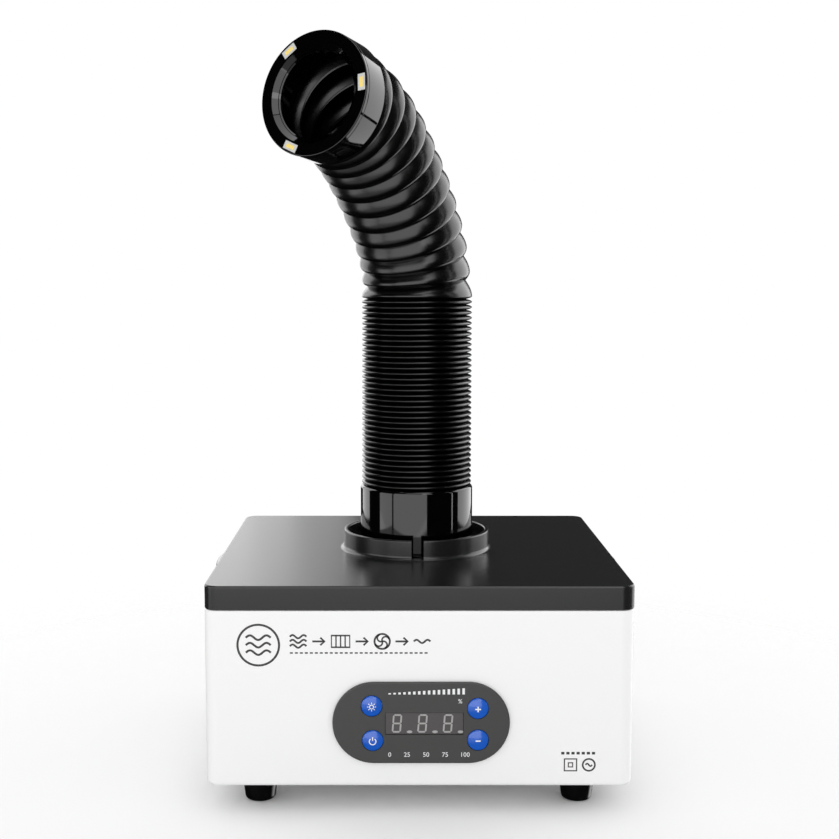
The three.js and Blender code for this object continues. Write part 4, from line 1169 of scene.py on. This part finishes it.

# %% [markdown]
# Each piece of skin runs from one valley to the next, with a hinge at its crest.

# %% Open folds
HOSE_WALL = 0.9 * MM
HOSE_SIDES = 96
FOLD_CREST = 36.5 * MM
FOLD_VALLEY = 33.1 * MM
RIB_CREST = 37.3 * MM
RIB_VALLEY = 33.4 * MM
RIB_PITCH = 3.6 * MM
FOLD_RINGS = 24
RIB_SHAPE = dict(rings_per_fold=10, crest_place=0.5, crest=RIB_CREST, valley=RIB_VALLEY, roundness=0.75)


def hose_skin(name, length, rings_per_fold, folds, crest_place, crest, valley, roundness=1.0):
    piece = bpy.data.objects.new(name, bpy.data.meshes.new(name))
    bpy.context.scene.collection.objects.link(piece)
    wall = piece.modifiers.new("wall", "SOLIDIFY")
    wall.thickness = HOSE_WALL
    wall.offset = -1
    tree = piece.modifiers.new("tree", "NODES")
    tree.node_group = hose_tree
    piece.modifiers.move(1, 0)
    values = {
        "Length": length, "Fold Length": length / folds, "Crest Place": crest_place,
        "Crest Radius": crest, "Valley Radius": valley, "Roundness": roundness,
        "Rings": folds * rings_per_fold + 1, "Sides": HOSE_SIDES, "Material": FINISHES["hose_black"],
    }
    for item in hose_tree.interface.items_tree:
        if item.in_out == "INPUT" and item.name in values:
            tree[item.identifier] = values[item.name]
    return freeze(piece)


def finish_hose(piece, hinge_s):
    """Dresses a hose skin and bakes its place into its mesh."""
    dress(piece, "hose_black", sharp=50)
    hinge = bend_frame(max(hinge_s, 0))
    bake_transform(piece)
    print(piece.name, "faces:", len(piece.data.polygons))
    return piece


for number in range(1, FOLDS + 1):
    valley_s = (number - 1 + VALLEY_PLACE) * FOLD_PITCH
    piece = hose_skin(f"hose_skin_{number}", FOLD_PITCH, FOLD_RINGS, 1, 1 - VALLEY_PLACE,
                      FOLD_CREST, FOLD_VALLEY)
    wrap(piece, valley_s)
    finish_hose(piece, number * FOLD_PITCH)
    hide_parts(f"hose_fold_{number}")
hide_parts("hose_end")

# %% Neck and collapsed stretch
NECK_RIBS = 2
collapsed_top = HOSE_NECK - RIB_PITCH / 2 - NECK_RIBS * RIB_PITCH
ribs_count = round((collapsed_top - HOSE_FOOT) / RIB_PITCH)
collapsed = hose_skin("hose_skin_collapsed", collapsed_top - HOSE_FOOT, folds=ribs_count, **RIB_SHAPE)
move(collapsed, Matrix.Translation((0, 0, HOSE_FOOT)))
dress(collapsed, "hose_black", sharp=50)
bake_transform(collapsed)
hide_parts("hose_collapsed")

neck = hose_skin("hose_skin_neck", NECK_RIBS * RIB_PITCH, folds=NECK_RIBS, **RIB_SHAPE)
move(neck, Matrix.Translation((0, 0, collapsed_top)))
dress(neck, "hose_black", sharp=50)
stand_for(neck, "hose_neck", "hose_black", "hose_neck")

low_half = RIB_PITCH / 2
root_length = low_half + VALLEY_PLACE * FOLD_PITCH
root = hose_skin("hose_skin_root", root_length, 26, 1, low_half / root_length, RIB_CREST, FOLD_VALLEY)
wrap(root, -low_half)
finish_hose(root, 0)
print("collapsed ribs:", ribs_count)

# %% [markdown]
# ## Coupling
#
# The coupling is a polished black tube. It has a sloping shoulder under the hose and stands in
# the collar with a ring of air round it.

# %% Coupling
coupling_low, coupling_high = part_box("hose_coupling")
COUPLING_RADIUS = (coupling_high.x - coupling_low.x) / 2
COUPLING_BORE = 29.5 * MM
COUPLING_NECK = 34.9 * MM
shoulder_top = HOSE_FOOT - 0.3 * MM
coupling = turned("coupling_tube", [
    (COUPLING_BORE, coupling_low.z),
    (COUPLING_NECK, coupling_low.z),
    (COUPLING_NECK, LID_TOP - 5.9 * MM),
    (33.6 * MM, LID_TOP - 5.9 * MM),
    (33.6 * MM, LID_TOP - 2.5 * MM),
    (COUPLING_NECK, LID_TOP - 2.5 * MM),
    (COUPLING_NECK, LID_TOP + 0.3 * MM),
    (COUPLING_RADIUS - 0.5 * MM, LID_TOP + 0.3 * MM),
    (COUPLING_RADIUS, LID_TOP + 0.8 * MM),
    *arc((COUPLING_RADIUS - 2.4 * MM, shoulder_top - 2.4 * MM), 2.4 * MM, 0, 75, 8),
    (34 * MM, shoulder_top),
    (30.8 * MM, shoulder_top + 0.2 * MM),
    (30.8 * MM, coupling_high.z),
    (COUPLING_BORE, coupling_high.z),
], 128)
dress(coupling, "polished_black")
stand_for(coupling, "hose_base", "gloss_black", "hose_coupling")

# %% [markdown]
# ## Nozzle
#
# The nozzle is a polished collar on the end of the hose. A flat black ring closes its face
# around the mouth, and three white lamps with yellow phosphor lie flush in the ring.

# %% Nozzle body and ring
NOZZLE_RADIUS = 38 * MM
NOZZLE_BORE = 31.5 * MM
NOZZLE_LENGTH = 20 * MM
RING_DEPTH = 2.7 * MM
MOUTH_RADIUS = 30.2 * MM
THROAT_RADIUS = 26.5 * MM
THROAT_DEPTH = 3.7 * MM
NOZZLE = bend_frame(BEND_LENGTH)
ring_bottom = NOZZLE_LENGTH - RING_DEPTH
body_top = ring_bottom - 0.3 * MM
throat = NOZZLE_LENGTH - THROAT_DEPTH


def mouth_radius(height):
    """The mouth's radius at a height up the nozzle: a cone from the face down to the throat."""
    depth = NOZZLE_LENGTH - height
    return MOUTH_RADIUS - (MOUTH_RADIUS - THROAT_RADIUS) * depth / THROAT_DEPTH


nozzle_body = turned("nozzle_collar", [
    (NOZZLE_BORE, 0.2 * MM),
    (NOZZLE_RADIUS - 1.2 * MM, 0.2 * MM),
    *arc((NOZZLE_RADIUS - 0.9 * MM, 1.1 * MM), 0.9 * MM, -60, 0, 4),
    (NOZZLE_RADIUS, body_top - 0.2 * MM),
    (NOZZLE_RADIUS - 0.2 * MM, body_top),
    (mouth_radius(body_top), body_top),
    (THROAT_RADIUS + 0.15 * MM, throat + 0.15 * MM),
    (THROAT_RADIUS, throat),
    (THROAT_RADIUS, throat - 2 * MM),
    (NOZZLE_BORE, throat - 4 * MM),
], 128)
dress(move(nozzle_body, NOZZLE), "polished_black")
stand_for(nozzle_body, "nozzle", "gloss_black", "nozzle_body")

lamp_places = {}
for number in (1, 2, 3):
    place = NOZZLE.inverted() @ centre_of(f"lamp_{number}")
    lamp_places[number] = math.atan2(place.y, place.x)
LAMP_RADIUS = 34 * MM
LAMP_LENGTH = 10 * MM
LAMP_WIDTH = 5 * MM
POCKET_PLAY = 0.3 * MM
POCKET_DEPTH = 1.1 * MM
edge = 0.7 * MM
face_ring = turned("lamp_face_ring", [
    (mouth_radius(ring_bottom), ring_bottom),
    (NOZZLE_RADIUS - 0.2 * MM, ring_bottom),
    (NOZZLE_RADIUS, ring_bottom + 0.2 * MM),
    *arc((NOZZLE_RADIUS - edge, NOZZLE_LENGTH - edge), edge, 0, 90, 5),
    (MOUTH_RADIUS + 0.15 * MM, NOZZLE_LENGTH),
    (MOUTH_RADIUS, NOZZLE_LENGTH - 0.15 * MM),
], 128)
for angle in lamp_places.values():
    pocket = bar("pocket", LAMP_WIDTH + POCKET_PLAY, LAMP_LENGTH + POCKET_PLAY, 0.3 * MM,
                 NOZZLE_LENGTH - POCKET_DEPTH, NOZZLE_LENGTH + 2 * MM, LAMP_RADIUS, 0)
    cut_away(face_ring, move(pocket, Matrix.Rotation(angle, 4, "Z")))
dress(move(face_ring, NOZZLE), "polished_black", flat_normals=True)
stand_for(face_ring, "nozzle", "gloss_black", "lamp_ring")


# %% Lamps
PHOSPHOR_LENGTH = 6.2 * MM
PHOSPHOR_WIDTH = 2.4 * MM


def bevelled_tile(name, width, length, steps, material, turn):
    """A small tile with softened edges; steps are (inset, height) pairs going up."""
    rings = [at_height(rounded(width - 2 * i, length - 2 * i, 0.3 * MM, 64), z) for i, z in steps]
    return dress(move(skin(name, rings), turn), material)


def lamp(number, angle):
    turn = NOZZLE @ Matrix.Rotation(angle, 4, "Z") @ Matrix.Translation((LAMP_RADIUS, 0, NOZZLE_LENGTH))
    package = [(0, -0.9 * MM), (0, -0.2 * MM), (0.2 * MM, 0)]
    shell_piece = bevelled_tile(f"lamp_shell_{number}", LAMP_WIDTH, LAMP_LENGTH, package,
                                "lamp_shell", turn)
    stand_for(shell_piece, "nozzle", "lamp_white", f"lamp_{number}")
    domed = [(0, -0.1 * MM), (0.05 * MM, 0.02 * MM), (0.3 * MM, 0.05 * MM)]
    glow = bevelled_tile(f"lamp_phosphor_{number}", PHOSPHOR_WIDTH, PHOSPHOR_LENGTH, domed,
                         "lamp_phosphor", turn)
    stand_for(glow, "nozzle", "lamp_white")


for number, angle in lamp_places.items():
    lamp(number, angle)

# %% [markdown]
# ## The rest of the frame
#
# What is hidden inside, and the small parts at the rear, keep the engineering model's shapes
# and get their finishes here.

# %% Finishes for carried-over pieces
CARRIED = {
    "gasket_foam": ["lid_gasket"],
    "steel_zinc": ["coupling_retainer", "fan_plate", "fan_motor", "transformer"]
    + [f"fan_plate_screw_{i}" for i in range(1, 5)],
    "inner_black": ["fan_impeller", "mains_inlet"],
    "filter_mat": ["hepa_filter", "prefilter"],
    "filter_carbon": ["carbon_filter"],
    "board_green": ["control_board", "power_board"],
    "lead_black": ["mains_lead", "motor_lead", "panel_cable"],
}
for material, names in CARRIED.items():
    for name in names:
        node = frame["nodes"][name]
        node.data.materials.clear()
        node.data.materials.append(FINISHES[material])
